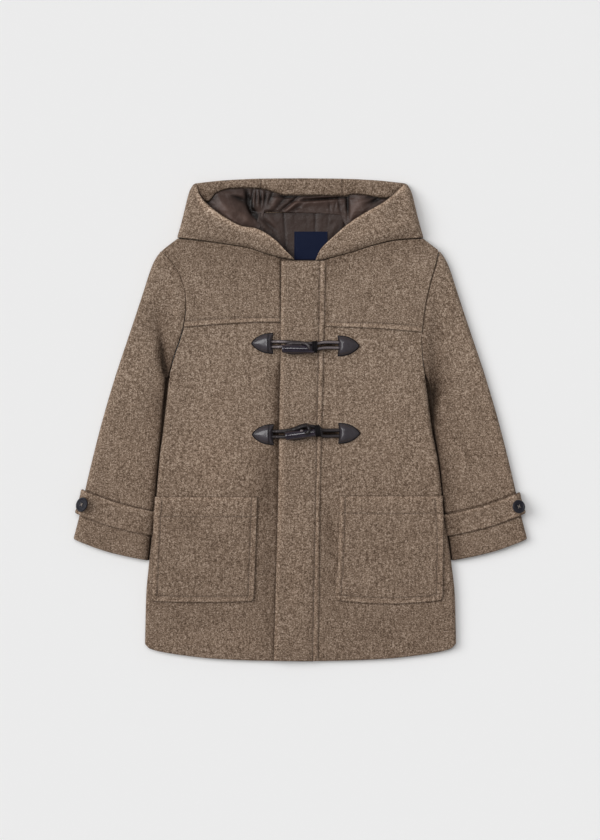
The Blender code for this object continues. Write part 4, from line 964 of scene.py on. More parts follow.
seams = [FACING_REACH + seam_at for seam_at in CENTRE_PANEL]
across = places(2 * FACING_REACH, 2.6, (1, 1), seams) - FACING_REACH
x, t = np.meshgrid(across, places(FACING_DEPTH, 1.5, (2.0, 1.6)) / FACING_DEPTH)
y = between(HOOD_TOP, abs(x)) + 0.6
y = y + (between(FACING_FOOT, x) - y) * t
z = 3.2 + WOOL_WALL + 2.4 * np.sin(math.pi * np.clip(t, 0, 1) ** 0.7) ** 0.7 + uneven(x, y, 24, 0.35, 12)
raised = 4.2 * smooth((abs(x) - 98) / 34) * (1 - 0.75 * t * smooth((abs(x) - 118) / 12))
z = z + raised + smooth((-60 - x) / 30) * t
z = z - 2.2 * smooth((abs(x) - 128) / 8)
# Painted shade at the facing's foot, at its ends next to the flaps' rims and in its seams.
from_foot = (1 - t) * FACING_DEPTH
lit = -0.34 * bell(from_foot, 1.6) - 0.10 * np.exp(-from_foot / 4) - 0.07
lit = lit - 0.30 * smooth((abs(x) - 104) / 26) * smooth((t - 0.15) / 0.6) - 0.30 * np.exp(-from_rim(x, y) / 5)
for seam_at in CENTRE_PANEL:
    z = z + stitch_row(x - seam_at, 1.2, 1.1)
    lit = lit - 0.20 * bell(x - seam_at, 1.1)
facing_top = np.stack([x, y, z], -1)
facing_low = np.stack([x, y, np.full(x.shape, 3.2)], -1)
facing = cloth("hood_facing_band", facing_top, facing_low, wool, (1.8, 1.5, 1.0, 1.0), crease=lit)
dressed(facing, "hood_facing")

# The hood's lining, a thin satin quilted to wadding, sags away from the facing and gathers into small folds.
# A second piece lines the neck below a level seam, quilted in upright rows.
LINING_WALL = 2.2
NECK_LINING_WALL = 1.8
LINING_FOOT = (
    (-122, 272), (-106, 260), (-88, 249), (-72, 245), (-59, 243), (-53, 247), (-49.5, 258), (-46, 270.6),
    (0, 268.6), (52, 265.4), (56, 258), (60, 250), (68, 254), (80, 262), (98, 271), (120, 284),
)
LOBES = (  # the lining's large folds: x, y, direction, half width, half length, height
    (-94, 272, 130, 13, 26, 4), (-56, 286, 60, 5, 16, 2), (-40, 284, 80, 5, 14, 1.6),
    (28, 287, 8, 4, 34, 1.6), (84, 280, 50, 11, 22, 2.8),
)
LINING_FOLDS = (
    (-103, 281, 136, 6, 18, 2.2), (-67, 284, 103, 3, 13, -5), (-59, 267, 132, 3, 12, -4.6),
    (-80, 288, 152, 4, 14, -2.4), (-88, 293, 172, 3, 14, 1.6), (-112, 288, 130, 3.6, 10, -2.2),
    (-86, 259, 150, 4, 16, 1.8), (-72, 262, 140, 5, 14, 2.2), (-62.5, 291, 80, 1.7, 9, -1.9),
    (-57.2, 289, 88, 1.5, 9, -1.7), (-51.6, 288, 95, 1.6, 10, -1.9), (-45.6, 288, 84, 1.6, 9, -1.6),
    (-38.5, 289, 70, 1.8, 9, -1.8), (-54.4, 288.5, 92, 1.3, 9, 1.2), (-48.6, 288.5, 88, 1.3, 9, 1.2),
    (-60, 289.5, 84, 1.3, 8, 1.2), (-33, 284, 60, 3, 12, 1.6), (-26, 281, 50, 2, 12, -1.6),
    (-10.5, 277.5, 39, 2.2, 15, 2.6), (-14.5, 280.5, 39, 1.8, 14, -2.4), (-5, 274.5, 39, 2.2, 13, -1.4),
    (28, 286.6, 4, 1.5, 30, -3), (28, 290, 3, 1.3, 26, 1.6), (24, 282.5, 4, 3, 30, 1.4),
    (-22, 290, 175, 1.8, 14, -1.6), (38, 277, 95, 1.5, 8, -1), (45.5, 279, 80, 1.3, 7, -0.9),
    (50.5, 281, 100, 1.6, 10, -1.6), (61.5, 279, 92, 2, 16, -3.2), (74, 280, 60, 7, 16, 2),
    (99, 286, 28, 3, 14, -2.2), (90, 289, 12, 2.4, 14, -1.6), (108, 284, 150, 2.6, 9, 1.2),
    (66, 264, 70, 4, 12, 1.2),
)
LINING_SHADE = (  # x, y, direction, half width, half length, share: gathers and hollows in shade
    (-48, 289, 0, 9, 18, -0.26), (-118, 285, 50, 5, 16, -0.28), (-62, 274, 115, 3.5, 16, -0.62),
    (-40, 272, 120, 6, 12, -0.22), (-22, 281, 55, 3, 12, -0.22), (14, 290.4, 2, 2.5, 40, -0.46),
    (60, 284, 95, 3.5, 14, -0.36), (104, 288, 20, 4, 18, -0.34), (-96, 268, 140, 7, 14, 0.16),
    (80, 276, 40, 6, 14, 0.10), (-104, 286, 140, 1.6, 12, -0.30), (-84, 290, 165, 1.6, 12, -0.25),
)

satin, shader, wire = new_finish("lining_satin", (0.06, 0.042, 0.036), 0.42, Specular_IOR_Level=0.36)
weave = wire.node("ShaderNodeUVMap", {"uv_map": "weave"})
warp, weft = (wire.wave(way, weave, 620.0, Distortion=0.6) for way in "XY")
tone = wire.noise(weave, 45.0)
colour = wire.blend(tone * 0.8 + (warp - 0.5) * 0.25, (0.050, 0.030, 0.0235), (0.084, 0.053, 0.0440))
wire.times(colour, wire.measure("crease") + 1.0).into(shader["Base Color"])
(tone * 0.16 + 0.34).into(shader["Roughness"])
threads = wire.bump(0.25, 0.0001, warp + weft)
wire.bump(0.55, 0.0009, wire.noise(weave, 260.0, 3.0, Distortion=0.8), Normal=threads).into(shader["Normal"])

across = places(LINING_FOOT[-1][0] - LINING_FOOT[0][0], 1.15) + LINING_FOOT[0][0]
share = np.linspace(0, 1, 52)[:, None]
x = np.broadcast_to(across, (52, len(across)))
top = between(FACING_FOOT, x) - 0.7
foot = between(LINING_FOOT, x)
y = top + (foot - top) * share
rise = smooth((abs(x) - 42) / 50)
fade = np.clip((297 - y) / 26, 0, 1)
low = WOOL_WALL + 1.0 + (3.6 + 2.0 * fade) * rise
over_neck = smooth((between(BACK_NECK, abs(x)) + 4 - y) / 4)
low = np.maximum(low, LINED_WALL + 0.95 * over_neck) + folds(x, y, LOBES)
drawn = 1.25 * folds(x, y, LINING_FOLDS)
z = low + LINING_WALL + drawn + uneven(x, y, 15, 0.3, 14) + uneven(x, y, 6, 0.08, 15)
z = z + stitch_row(y - foot, 1.2, 1.8) * (1 - smooth((abs(x) - 40) / 12))
on_back = smooth((between(BACK_NECK, abs(x)) + 5 - y) / 2)
z = np.maximum(z, WOOL_WALL + 1.2 + (LINED_WALL - WOOL_WALL + 0.4) * on_back)
# Painted shade in the folds, under the facing, at the seam and next to the flaps' rims; painted light on the
# lobes.
lit = 0.22 * drawn + 0.03 * folds(x, y, LOBES) + folds(x, y, LINING_SHADE) - 0.12
lit = lit - 0.34 * np.exp(-((top - y) / 3.0)) - 0.30 * bell(y - foot, 1.0)
lit = lit - 0.42 * np.exp(-from_rim(x, y) / 4)
lining_top = np.stack([x, y, z], -1)
lining_low = np.stack([x, y, np.minimum(low, z - 0.9)], -1)
hood_lining = cloth("hood_lining_satin", lining_top, lining_low, satin, (1.6, 1.2, 1, 1), crease=lit)
dressed(hood_lining, "hood_lining")

NECK_LINING_ROWS = (  # y, x at the wearer's right, at the wearer's left
    (269.5, -53, 57), (256, -57, 58), (248, -63, 60), (240, -60, 58), (228, -48, 48), (216, -34, 40),
    (205, -26, 32),
)
QUILT_LINES = ((-62, 0.12), (-21.5, 0.06), (19.3, 0), (58, -0.05))  # x at the seam, lean
NECK_FOLDS = (
    (-42, 254, 140, 2.4, 13, -1.7), (-36, 257, 128, 3, 12, 1.2), (-46, 250, 122, 3, 14, 0.9),
    (8, 260, 94, 2, 8, -0.4), (36, 259, 84, 1.6, 8, -0.6), (-8, 262, 88, 1.6, 5, -0.4),
    (44, 250, 66, 3, 10, 0.8), (-26, 232, 100, 3, 14, 0.6),
)
rows = 269.2 - places(64.2, 1.5, (1.2, 0))
share = np.linspace(0, 1, 90)
left_x, right_x = between(NECK_LINING_ROWS, rows, 1), between(NECK_LINING_ROWS, rows, 2)
x = left_x[:, None] + (right_x - left_x)[:, None] * share
y = np.broadcast_to(rows[:, None], x.shape)
low = np.full(x.shape, LINED_WALL + 0.35)
z = low + NECK_LINING_WALL + folds(x, y, NECK_FOLDS) + uneven(x, y, 12, 0.12, 17)
# Painted shade over the piece, under the hood lining, next to the flaps' rims and in the quilting lines.
lit = 0.16 * folds(x, y, NECK_FOLDS) - 0.30 - 0.25 * np.exp(-np.clip(268 - y, 0, None) / 2.5)
lit = lit - 0.42 * np.exp(-from_rim(x, y) / 5)
for line_x, lean in QUILT_LINES:
    off_line = abs(x - line_x - lean * (266 - y))
    z = z - 1.3 * np.exp(-off_line / 1.1) + 0.35 * bell(x - line_x - 8, 6)
    lit = lit - 0.40 * np.exp(-off_line / 1.0)
z = np.maximum(z + 0.5 * bell((266 - y) / 5 - 1, 1), low + 0.4)
top, low = np.stack([x, y, z], -1), np.stack([x, y, low], -1)
neck_lining = cloth("neck_lining_satin", top, low, satin, (1.4, 0, 0, 0), crease=lit)
dressed(neck_lining, "neck_lining")

# The neck label, a plain woven ribbon in navy, sewn to the lining along its edges.
LABEL = (-7.8, 35.4, 244.6, 208.0)  # x from, x to, y from, y to
ribbon, shader, wire = new_finish("label_ribbon", (0.003, 0.009, 0.035), 0.6, Specular_IOR_Level=0.2)
weave = wire.node("ShaderNodeUVMap", {"uv_map": "weave"})
rib = wire.wave("Y", weave, 480.0, Distortion=0.4)
thread = wire.wave("X", weave, 700.0)
wire.blend(rib * 0.7 + thread * 0.3, (0.0015, 0.004, 0.018), (0.004, 0.010, 0.038)).into(shader["Base Color"])
wire.bump(0.5, 0.00015, rib + thread).into(shader["Normal"])
across = places(LABEL[1] - LABEL[0], 1.5, (0.8, 0.8), (1.6,)) + LABEL[0]
x, y = np.meshgrid(across, LABEL[2] - places(LABEL[2] - LABEL[3], 1.5, (0.8, 0)))
low = LINED_WALL + 0.35 + NECK_LINING_WALL + 0.5 + 0.25 * np.sin(x / 7.0) * np.sin(y / 9.0)
inset = np.minimum(np.minimum(x - LABEL[0], LABEL[1] - x), LABEL[2] - y)
height = low + 0.75 + stitch_row(inset - 1.6, 0.25, 0.6)
top, low = np.stack([x, y, height], -1), np.stack([x, y, low], -1)
label = cloth("neck_ribbon", top, low, ribbon, (0.6, 0, 0.6, 0.6))
dressed(label, "neck_label")

# The leather tabs, four shields of padded leather with a folded rim at the back edge and one row of stitches
# round the edge that sews each to its front.
LEATHER_LENGTH, LEATHER_HALF = 29.0, 13.6
LEATHER_RIDGE, LEATHER_RISE = 8.0, 6.8  # the padding is highest here, from the back edge, and by so much
LEATHER_CREASE = {-1: 6.4, 1: 1.5}  # how far from the back edge the folded rim ends, right and left
TOGGLE_ROWS = (  # row, right tab's back x, y, left tab's back x, y
    (1, -35, 99.4, 48.1, 96.1), (2, -34.2, -18.9, 49, -17.2),
)
leather, shader, wire = new_finish(
    "tab_leather", (0.034, 0.029, 0.033), 0.3, Specular_IOR_Level=0.12, Coat_Roughness=0.25
)
place = wire.place()
pores = wire.node("ShaderNodeTexVoronoi", {"feature": "DISTANCE_TO_EDGE"}, {"Vector": place, "Scale": 900.0})
grain, wear = wire.noise(place, 420.0, 4.0), wire.noise(place, 90.0, 3.0)
tone = wire.blend(wear * 0.8 + grain * 0.3, (0.028, 0.024, 0.028), (0.070, 0.060, 0.069))
# Painted shade: the tab's rim and folded crease are drawn dark; the same values give the face its gloss and
# coat.
polish = wire.measure("polish")
wire.times(tone, polish * 0.85 + 0.15).into(shader["Base Color"])
(wear * 0.16 + 0.20 + (1.0 - polish) * 0.5).into(shader["Roughness"])
polish.into(shader["Coat Weight"])
wire.bump(0.45, 0.0003, pores * 1.4 + grain).into(shader["Normal"])


def shell_faces(rows, count):
    """The faces of a closed shell through rows of rings of points, with a flat cap at each end."""
    ring, row = np.arange(count), np.arange(rows - 1)[:, None] * count
    after = (ring + 1) % count
    quads = np.stack([row + count + ring, row + count + after, row + after, row + ring], -1).reshape(-1, 4)
    return [*quads.tolist(), list(range(count)), list(range((rows - 1) * count, rows * count))[::-1]]


leather_lines = []
tab_low = {}
share = 1 - (1 - np.linspace(0, 1, 26)) ** 1.25
half = LEATHER_HALF * (1 - share**2.4) ** 0.8
back_edge = np.linspace(-1, 1, 16)[1:-1]
outline = np.concatenate([
    np.column_stack([share * LEATHER_LENGTH, half]), np.column_stack([share * LEATHER_LENGTH, -half])[-2::-1],
    np.column_stack([1.1 * (1 - back_edge**2), LEATHER_HALF * back_edge]),
])
middle = np.array([LEATHER_LENGTH * 0.28, 0])
size = np.concatenate([[1.0, 0.985, 0.955, 0.92], np.linspace(0.885, 0.02, 20)])  # each ring's, inwards
plan = middle + (outline - middle) * size[:, None, None]
filled = (LEATHER_RISE * (1 - (np.minimum(size, 0.885) / 0.885) ** 4))[:, None]
from_ridge = plan[..., 0] - LEATHER_RIDGE
steepness = np.where(from_ridge > 0, 0.9 / (LEATHER_LENGTH - LEATHER_RIDGE), 0.06)
falling = (np.sqrt(from_ridge**2 + 4) - 2) * steepness
sewn = bell(size - 0.86, 0.03)[:, None]
for row, right_x, right_y, left_x, left_y in TOGGLE_ROWS:
    for side, back_x, tab_y in ((-1, right_x, right_y), (1, left_x, left_y)):
        name = f"tab_{'right' if side < 0 else 'left'}_{row}"
        base = float(max(front_top(back_x + side * outline[:, 0], tab_y + outline[:, 1]))) + CLEAR
        tab_low[name] = base
        from_crease = plan[..., 0] - LEATHER_CREASE[side]
        turned = 0.4 * bell(from_crease - 1.9, 0.8) - 0.6 * bell(from_crease, 0.8)
        height = np.array([0.0, 1.3, 2.0, *(2.2,) * 21])[:, None] + filled * (1 - falling) - 0.5 * sewn
        height = height + turned * (size[:, None] < 0.97)
        height[0] = 0
        points = np.stack([back_x + side * plan[..., 0], tab_y + plan[..., 1], base + height], -1)
        faces = shell_faces(*points.shape[:2])
        tab = new_piece("leather_" + name, points, [face[::side] for face in faces], leather)
        # Painted shade at the rim and the crease, and gloss over the face.
        rim_shade_and_gloss_share = smooth((1 - size - 0.05) / 0.10)[:, None] * (1 - 0.65 * bell(from_crease, 1.0))
        painted(tab, "polish", rim_shade_and_gloss_share)
        dressed(tab, name)
        leather_lines.append(points[np.argmin(abs(size - 0.86)), : 2 * len(share) - 1] + (0, 0, 0.25))

# The fastenings: a horn toggle held by a waxed cord from the wearer's right tab, and a loop of the same cord
# from the left one that passes round the toggle. Both cords are sewn in below their tabs.
CORD = 4.8
TOGGLE_LENGTH, TOGGLE_RADIUS = 44.0, 5.4
TOGGLE_SHAPE = (  # place along the toggle, from -1 to 1, and share of its radius
    (-0.999, 0.35), (-0.992, 0.62), (-0.975, 0.78), (-0.945, 0.88), (-0.9, 0.95), (-0.8, 0.985), (-0.5, 1),
    (0, 1), (0.5, 1), (0.75, 0.985), (0.86, 0.94), (0.92, 0.86), (0.96, 0.76), (0.985, 0.58), (0.998, 0.32),
)
TOGGLES = {1: (-2.2, 91.7, -0.6), 2: (1.9, -18.3, 7.5)}  # row: x, y, lean in degrees
STRAND_YS = {  # row: y of the right cord's two strands and of the left loop's
    1: ((101.5, 94.7), (100.7, 93.6)),
    2: ((-14.7, -21.8), (-13.2, -20.6)),
}

cord_finish, shader, wire = new_finish(
    "waxed_cord", (0.02, 0.016, 0.016), 0.3, Specular_IOR_Level=0.15, Coat_Roughness=0.15
)
# Painted highlight: the strands' tops are drawn pale, with more coat, from the cords' attribute.
fibres, rubbed = wire.noise(wire.place(), 700.0, 3.0), wire.measure("rubbed")
tone = wire.blend(fibres, (0.005, 0.004, 0.005), (0.024, 0.020, 0.020))
wire.blend(rubbed, tone, (0.30, 0.255, 0.26)).into(shader["Base Color"])
(rubbed * 0.5 + 0.3).into(shader["Coat Weight"])
wire.bump(0.2, 0.0003, fibres).into(shader["Normal"])

whipping, _, _ = new_finish("whipping_thread", (0.006, 0.005, 0.006), 0.75, Specular_IOR_Level=0.2)

horn, shader, wire = new_finish(
    "toggle_horn", (0.022, 0.016, 0.022), 0.2, Specular_IOR_Level=0.6, Coat_Weight=0.6, Coat_Roughness=0.16
)
stretched = wire.node("ShaderNodeMapping", {}, {"Vector": wire.place(), "Scale": (0.12, 1, 1)})
streaks = wire.noise(stretched, 620.0, 4.0)
stops = ((0.3, (0.008, 0.005, 0.010)), (0.55, (0.020, 0.013, 0.024)), (0.75, (0.050, 0.036, 0.048)))
wire.node("ShaderNodeValToRGB", {"stops": stops}, {"Fac": streaks}).into(shader["Base Color"])
(streaks * 0.1 + 0.17).into(shader["Roughness"])
wire.bump(0.05, 0.0002, streaks).into(shader["Normal"])


def twisted(name, path, radius, lay=7.0, strands=3, finish=cord_finish, highlight_strength=0.12):
    """A tube of laid cord along a path, its strands raised and turning once in each lay. The last argument
    says how strong a painted highlight is drawn pale along its top, most where the cord runs free."""
    line = fine(path, 10)
    distance = lengths(line)
    line = along(line, np.linspace(0, distance[-1], max(12, round(distance[-1] / 0.7))))
    distance = lengths(line)
    ahead = np.gradient(line, axis=0)
    ahead /= np.linalg.norm(ahead, axis=1, keepdims=True)
    side_way = np.cross(ahead, (0.0, 0.0, 1.0))
    side_way[np.linalg.norm(side_way, axis=1) < 1e-3] = (0, 1, 0)
    side_way /= np.linalg.norm(side_way, axis=1, keepdims=True)
    up_way = np.cross(side_way, ahead)
    angle = np.arange(18) * math.tau / 18
    ridge = abs(np.sin(strands / 2 * (angle[None, :] - math.tau * distance[:, None] / lay)))
    reach = radius * (0.89 + 0.11 * ridge)
    ends = np.minimum(distance, distance[-1] - distance)[:, None]
    reach = reach * np.sqrt(np.clip(1 - (1 - np.clip(ends / radius, 0, 1)) ** 2, 0.02, 1))
    points = line[:, None] + reach[..., None] * (
        np.cos(angle)[None, :, None] * side_way[:, None] + np.sin(angle)[None, :, None] * up_way[:, None]
    )
    piece = new_piece(name, points, shell_faces(len(line), len(angle)), finish)
    # Painted highlight along the cord's top, strongest where it runs free.
    free = 0.3 + 0.7 * smooth((abs(line[:, 0]) - 15) / 7)
    pale = highlight_strength * free[:, None] * smooth((np.sin(angle) - 0.66) / 0.28)[None, :] * (0.35 + 0.65 * ridge)
    painted(piece, "rubbed", pale)
    return piece


def joined(name, pieces):
    """Several meshes as one piece."""
    first = pieces[0]
    with bpy.context.temp_override(
        active_object=first, object=first, selected_editable_objects=pieces, selected_objects=pieces
    ):
        bpy.ops.object.join()
    first.name = first.data.name = name
    return first


def turned_faces(count, sides):
    """The faces of a closed piece of count points: rings of them between its first and its last."""
    last, faces = count - 1, []
    for i in range(sides):
        after = (i + 1) % sides
        faces += [[0, 1 + after, 1 + i], [last, last - sides + i, last - sides + after]]
        for low in range(1, last - sides, sides):
            faces.append([low + i, low + after, low + sides + after, low + sides + i])
    return faces


for row, right_x, _, left_x, _ in TOGGLE_ROWS:
    x, y, lean = TOGGLES[row]
    turn = math.radians(lean)
    axis = np.array([math.cos(turn), math.sin(turn), 0])
    beside = np.array([-math.sin(turn), math.cos(turn), 0])
    high = float(front_top(np.array(0.0), np.array(y))) + CLEAR + PLACKET_WALL + 0.4 + CORD / 2
    centre = np.array([x, y, high + CORD / 2 + 0.3 + TOGGLE_RADIUS])
    under = high - centre[2]
    over = TOGGLE_RADIUS + CORD / 2 - 0.2
    low_right, low_left = tab_low[f"tab_right_{row}"] + 1.9, tab_low[f"tab_left_{row}"] + 1.9
    (right_high, right_low), (left_high, left_low) = STRAND_YS[row]

    def spot(run, off, up):
        return centre + axis * run + beside * off + np.array([0, 0, up])

    def round_bar(run, degrees, apart=over):
        """A place beside the toggle, at an angle round it from its wearer's top side."""
        return spot(run, apart * math.cos(math.radians(degrees)), apart * math.sin(math.radians(degrees)))

    def out_of_tab(side, strand_y):
        """The places where a cord comes up from below its tab and onto the placket."""
        back_x, low = (right_x, low_right) if side < 0 else (left_x, low_left)
        edge_x, drop = (right_edge - 2, 0.8) if side < 0 else (left_edge + 1, 0.5)
        first, last = (back_x + 3 * side, strand_y, low), (edge_x, strand_y, high - drop)
        return [first, (back_x - 2 * side, strand_y, low + 0.3), last]

    right_edge, left_edge = (float(between(PLACKET_EDGES, y, column)) for column in (1, 3))
    # How strong a highlight is painted along the strands' tops in each row.
    highlight_strength = 0.80 if row == 1 else 0.16
    first, second = out_of_tab(-1, right_high), out_of_tab(-1, right_low)
    loop, loop_end = out_of_tab(1, left_high), out_of_tab(1, left_low)[::-1]
    if row == 1:
        first += [
            (right_edge + 4, right_high - 0.2, high + 0.3), (-10, right_high - 0.7, high + 0.8),
            (0, right_high - 1.4, high + 2.4), round_bar(7, 10), round_bar(11.5, 40),
            round_bar(13.5, 68, over - 1.2), round_bar(14.5, 90, over - 4),
        ]
        loop += [
            spot(24, 7.6, under + 0.6), round_bar(17, -6), round_bar(8, -14), round_bar(-2, -16),
            round_bar(-10, -20),
        ]
    else:
        first += [
            (-20, right_high + 0.6, high + 0.3), (-9, -11.8, high + 1.2), (0, -8.2, high + 3.0),
            (8.5, -6.4, high + 5.0), round_bar(9.5, 28, over + 1.5), round_bar(10.5, 55),
            round_bar(8.0, 80, over - 0.6), round_bar(4.0, 95, over - 3.5),
        ]
        loop += [
            spot(23, 5.6, under + 0.8), round_bar(17, 6), round_bar(11, 4, over + 1.6),
            round_bar(4, -2, over + 2.2), round_bar(-3, -12, over + 0.8), round_bar(-10, -24),
        ]
    second += [
        (right_edge + 5, right_low, high), spot(-14, -1.5, under), spot(-6, -1.0, under),
        spot(0, -0.4, under + 0.4), spot(2.5, 0, -2.5),
    ]
    loop += [
        spot(-15.5, 4.6, under + 0.2), spot(-17.6, 0.6, under - 0.1), spot(-15.5, -3.4, under - 0.1),
        spot(-9, -4.6, under), spot(2, -4.2, under), spot(13, -2.4, under), spot(24, 0.5, under + 0.4),
        *loop_end,
    ]
    runs = [
        twisted(f"hold_{row}_{number}", line, CORD / 2, highlight_strength=highlight_strength)
        for number, line in enumerate((first, second))
    ]
    if row == 2:
        nub = [round_bar(-1.4, 58, over - 1.4), round_bar(0.4, 52, over - 0.1)]
        nub.append(round_bar(2.2, 58, over - 1.4))
        # A strong painted highlight, a glint, on the knot in the toggle's hole.
        runs.append(twisted("hold_nub", nub, 1.9, 4.0, highlight_strength=2.6))
        inside = [
            (-22, -15.6, high - 0.4), (-12.1, -14.3, high + 0.8), (-0.4, -10.6, high + 1.6),
            (10, -9.3, high + 1.6), (19.1, -12.6, high + 0.4),
        ]
        runs.append(twisted("hold_inside", inside, CORD / 2))
    hold = joined(f"toggle_cord_strands_{row}", runs)
    dressed(hold, f"toggle_cord_{row}")

    collar_off = 3.0 if row == 1 else 1.6
    collar = []
    for run in (18.6, 20.8, 23.0):
        turn = np.radians(np.linspace(-40, 320, 25))
        ring = [spot(run, collar_off + 6.6 * math.cos(a), -0.9 + 6.0 * math.sin(a)) for a in turn]
        collar.append(twisted(f"collar_{row}_{run}", ring, 1.35, 3.0, finish=whipping))
    loop = joined(f"loop_cord_strands_{row}", [twisted(f"loop_{row}", loop, CORD / 2, highlight_strength=highlight_strength), *collar])
    dressed(loop, f"loop_cord_{row}")

    angle = np.arange(36) * math.tau / 36
    end = axis * TOGGLE_LENGTH / 2
    round_way = np.cos(angle)[:, None] * beside + 0.94 * np.sin(angle)[:, None] * np.array([0, 0, 1.0])
    rings = [centre + end * place + TOGGLE_RADIUS * size * round_way for place, size in TOGGLE_SHAPE]
    bar = np.concatenate([[centre - end], *rings, [centre + end]])
    toggle = new_piece(f"toggle_bar_{row}", bar, turned_faces(len(bar), len(angle)), horn)
    dressed(toggle, f"toggle_{row}")

# The cuff buttons, turned with a raised rim and four holes, and sewn on with a crossed thread.
BUTTONS = {-1: (9.6, 41.0, 46.5), 1: (8.8, 24.0, 44.0)}  # radius, lean in degrees, distance from the hem
HOLE_REACH, HOLE_RADIUS = 0.26 * 0.7, 0.105  # shares of the button's radius: a hole's place and size
HOLE_DEPTH = 1.3
button_finish, shader, wire = new_finish("button_horn", (0.014, 0.014, 0.020), 0.42, Specular_IOR_Level=0.3)
cloud = wire.noise(wire.place(), 260.0, 4.0, Distortion=1.2)
wire.blend(cloud, (0.006, 0.006, 0.010), (0.030, 0.029, 0.038)).into(shader["Base Color"])
(cloud * 0.2 + 0.36).into(shader["Roughness"])
PROFILE = [
    (0.0, 0.0), (0.8, 0.0), (0.93, 0.35), (1.0, 1.2), (0.995, 2.1), (0.96, 2.75), (0.9, 3.1), (0.84, 3.2),
    (0.77, 3.0), (0.71, 2.4), (0.66, 2.0), (0.6, 1.9),
    *((radius, 2.0) for radius in np.linspace(0.54, 0.03, 18)), (0.0, 2.0),
]
button_threads = []
for side, cad_name in ((-1, "cuff_button_right"), (1, "cuff_button_left")):
    radius, lean, step = BUTTONS[side]
    line, _ = sleeve_line(side, step)
    ahead = (line[0] - line[1]) / np.linalg.norm(line[0] - line[1])
    lean = math.radians(lean)
    reach = ROLL + 0.6 + STRAP_WALL + 1.4
    seat = math.radians(27)  # how far round the sleeve's fold the button sits
    centre = line[0] - ahead * slanted(line, sleeve_outer_fold, step) + ahead * reach * math.sin(seat)
    flip = np.array([side, 1, 1])
    base = np.array([*centre, CUFF_HEIGHT / 2 + reach * math.cos(seat)]) * flip
    up = np.array([ahead[0] * math.sin(lean), ahead[1] * math.sin(lean), math.cos(lean)]) * flip
    first = np.array([ahead[0] * math.cos(lean), ahead[1] * math.cos(lean), -math.sin(lean)]) * flip
    second = np.cross(up, first)
    for _ in range(5):  # up or down until it just rests on the strap
        off = strap_faces[side] - base
        rise = off @ up
        covered = np.linalg.norm(off - rise[:, None] * up, axis=1) < 0.9 * radius
        base = base + (0, 0, (rise[covered].max() - 0.3) / up[2])
    angle = np.arange(64) * math.tau / 64
    cosine, sine = np.cos(angle), np.sin(angle)
    disc = [base[None]]
    for share, height in PROFILE[1:-1]:
        level = np.full(len(angle), height)
        if share < 0.55:
            for hole_x, hole_y in ((1, 1), (-1, 1), (-1, -1), (1, -1)):
                off = np.hypot(share * cosine - hole_x * HOLE_REACH, share * sine - hole_y * HOLE_REACH)
                level = level - HOLE_DEPTH * smooth((HOLE_RADIUS - off) / 0.03 + 0.5)
        round_way = cosine[:, None] * first + sine[:, None] * second
        disc.append(base + up * level[:, None] + radius * share * round_way)
    disc = np.concatenate([*disc, [base + up * PROFILE[-1][1]]])
    faces = turned_faces(len(disc), len(angle))
    button = new_piece("button_disc_" + cad_name[12:], disc, faces, button_finish)
    dressed(button, cad_name)
    reach = radius * HOLE_REACH
    for hole_x in (1, -1):
        across_button = np.array([hole_x * first + second, -hole_x * first - second]) * reach
        button_threads.append(np.linspace(*(base + up * (PROFILE[-1][1] + 0.45) + across_button), 12))

# Topstitching: every visible row on the wool in brown thread, laid as single stitches along its line.
THREADS = (  # name, colour, roughness, gloss, the darkest and the palest of its twist
    ("brown_thread", (0.13, 0.09, 0.066), 0.6, 0.4, (0.075, 0.052, 0.038), (0.17, 0.125, 0.095)),
    ("black_thread", (0.02, 0.017, 0.018), 0.5, 0.5, (0.012, 0.010, 0.011), (0.05, 0.044, 0.046)),
    ("pale_thread", (0.30, 0.26, 0.23), 0.6, 0.4, (0.16, 0.13, 0.11), (0.42, 0.37, 0.33)),
)
threads = {}
for name, colour, roughness, gloss, dark, pale in THREADS:
    threads[name], shader, wire = new_finish(name, colour, roughness, Specular_IOR_Level=gloss)
    wire.blend(wire.noise(wire.place(), 1400.0), dark, pale).into(shader["Base Color"])


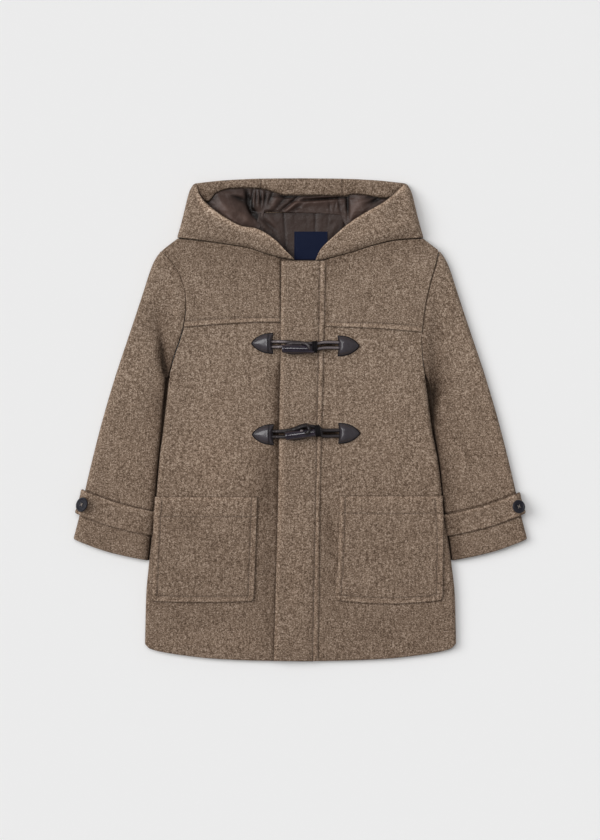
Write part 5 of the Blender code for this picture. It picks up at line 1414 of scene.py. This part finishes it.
def stitches(name, lines, pitch, length, half, finish):
    """Single stitches along lines on the cloth, by Geometry Nodes, as one mesh."""
    curve = bpy.data.curves.new(name, "CURVE")
    curve.dimensions = "3D"
    for line in lines:
        spline = curve.splines.new("POLY")
        spline.points.add(len(line) - 1)
        spline.points.foreach_set("co", np.column_stack([line * MM, np.ones(len(line))]).ravel())
    source = bpy.data.objects.new(name, curve)
    bpy.context.scene.collection.objects.link(source)
    tree = bpy.data.node_groups.new(name, "GeometryNodeTree")
    tree.interface.new_socket("Geometry", in_out="OUTPUT", socket_type="NodeSocketGeometry")
    tree.interface.new_socket("Geometry", in_out="INPUT", socket_type="NodeSocketGeometry")
    sizes = {}
    for called, value in (("Pitch", pitch), ("Length", length), ("Half thickness", half)):
        socket = tree.interface.new_socket(called, in_out="INPUT", socket_type="NodeSocketFloat")
        sizes[socket.identifier] = value * MM
    start, end = tree.nodes.new("NodeGroupInput"), tree.nodes.new("NodeGroupOutput")

    def add(kind, settings, **sockets):
        made = tree.nodes.new(kind)
        for key, value in settings.items():
            setattr(made, key, value)
        for key, value in sockets.items():
            socket = made.inputs[key.replace("_", " ")]
            if hasattr(value, "links"):
                tree.links.new(value, socket)
            else:
                socket.default_value = value
        return made

    even = add(
        "GeometryNodeResampleCurve", {"mode": "LENGTH"}, Curve=start.outputs["Geometry"],
        Length=start.outputs["Pitch"],
    )
    points = add("GeometryNodeCurveToPoints", {"mode": "EVALUATED"}, Curve=even.outputs[0])
    grain = add("GeometryNodeMeshUVSphere", {}, Segments=6, Rings=5, Radius=1.0)
    half_length = add("ShaderNodeMath", {"operation": "MULTIPLY"})
    tree.links.new(start.outputs["Length"], half_length.inputs[0])
    half_length.inputs[1].default_value = 0.5
    thickness = start.outputs["Half thickness"]
    size = add("ShaderNodeCombineXYZ", {}, X=thickness, Y=thickness, Z=half_length.outputs[0])
    laid_on = add(
        "GeometryNodeInstanceOnPoints", {}, Points=points.outputs["Points"], Instance=grain.outputs["Mesh"],
        Rotation=points.outputs["Rotation"], Scale=size.outputs[0],
    )
    real = add("GeometryNodeRealizeInstances", {}, Geometry=laid_on.outputs[0])
    smoothed = add("GeometryNodeSetShadeSmooth", {}, Geometry=real.outputs[0])
    coloured = add("GeometryNodeSetMaterial", {}, Geometry=smoothed.outputs[0], Material=finish)
    tree.links.new(coloured.outputs[0], end.inputs[0])
    modifier = source.modifiers.new("stitching", "NODES")
    modifier.node_group = tree
    for identifier, value in sizes.items():
        modifier[identifier] = value
    graph = bpy.context.evaluated_depsgraph_get()
    mesh = bpy.data.meshes.new_from_object(source.evaluated_get(graph), depsgraph=graph)
    mesh.name = name
    bpy.data.objects.remove(source)
    piece = bpy.data.objects.new(name, mesh)
    bpy.context.scene.collection.objects.link(piece)
    return piece


for name, lines, pitch, length, half, thread, slot in (
    ("topstitching", stitch_lines, 3.3, 2.5, 0.36, "brown_thread", "wool"),
    ("tab_stitching", leather_lines, 2.0, 1.5, 0.28, "black_thread", "leather"),
    ("button_thread", button_threads, 0.5, 1.1, 0.42, "pale_thread", "button"),
):
    sewn = stitches(name, lines, pitch, length, half, threads[thread])
    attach(sewn, "root")
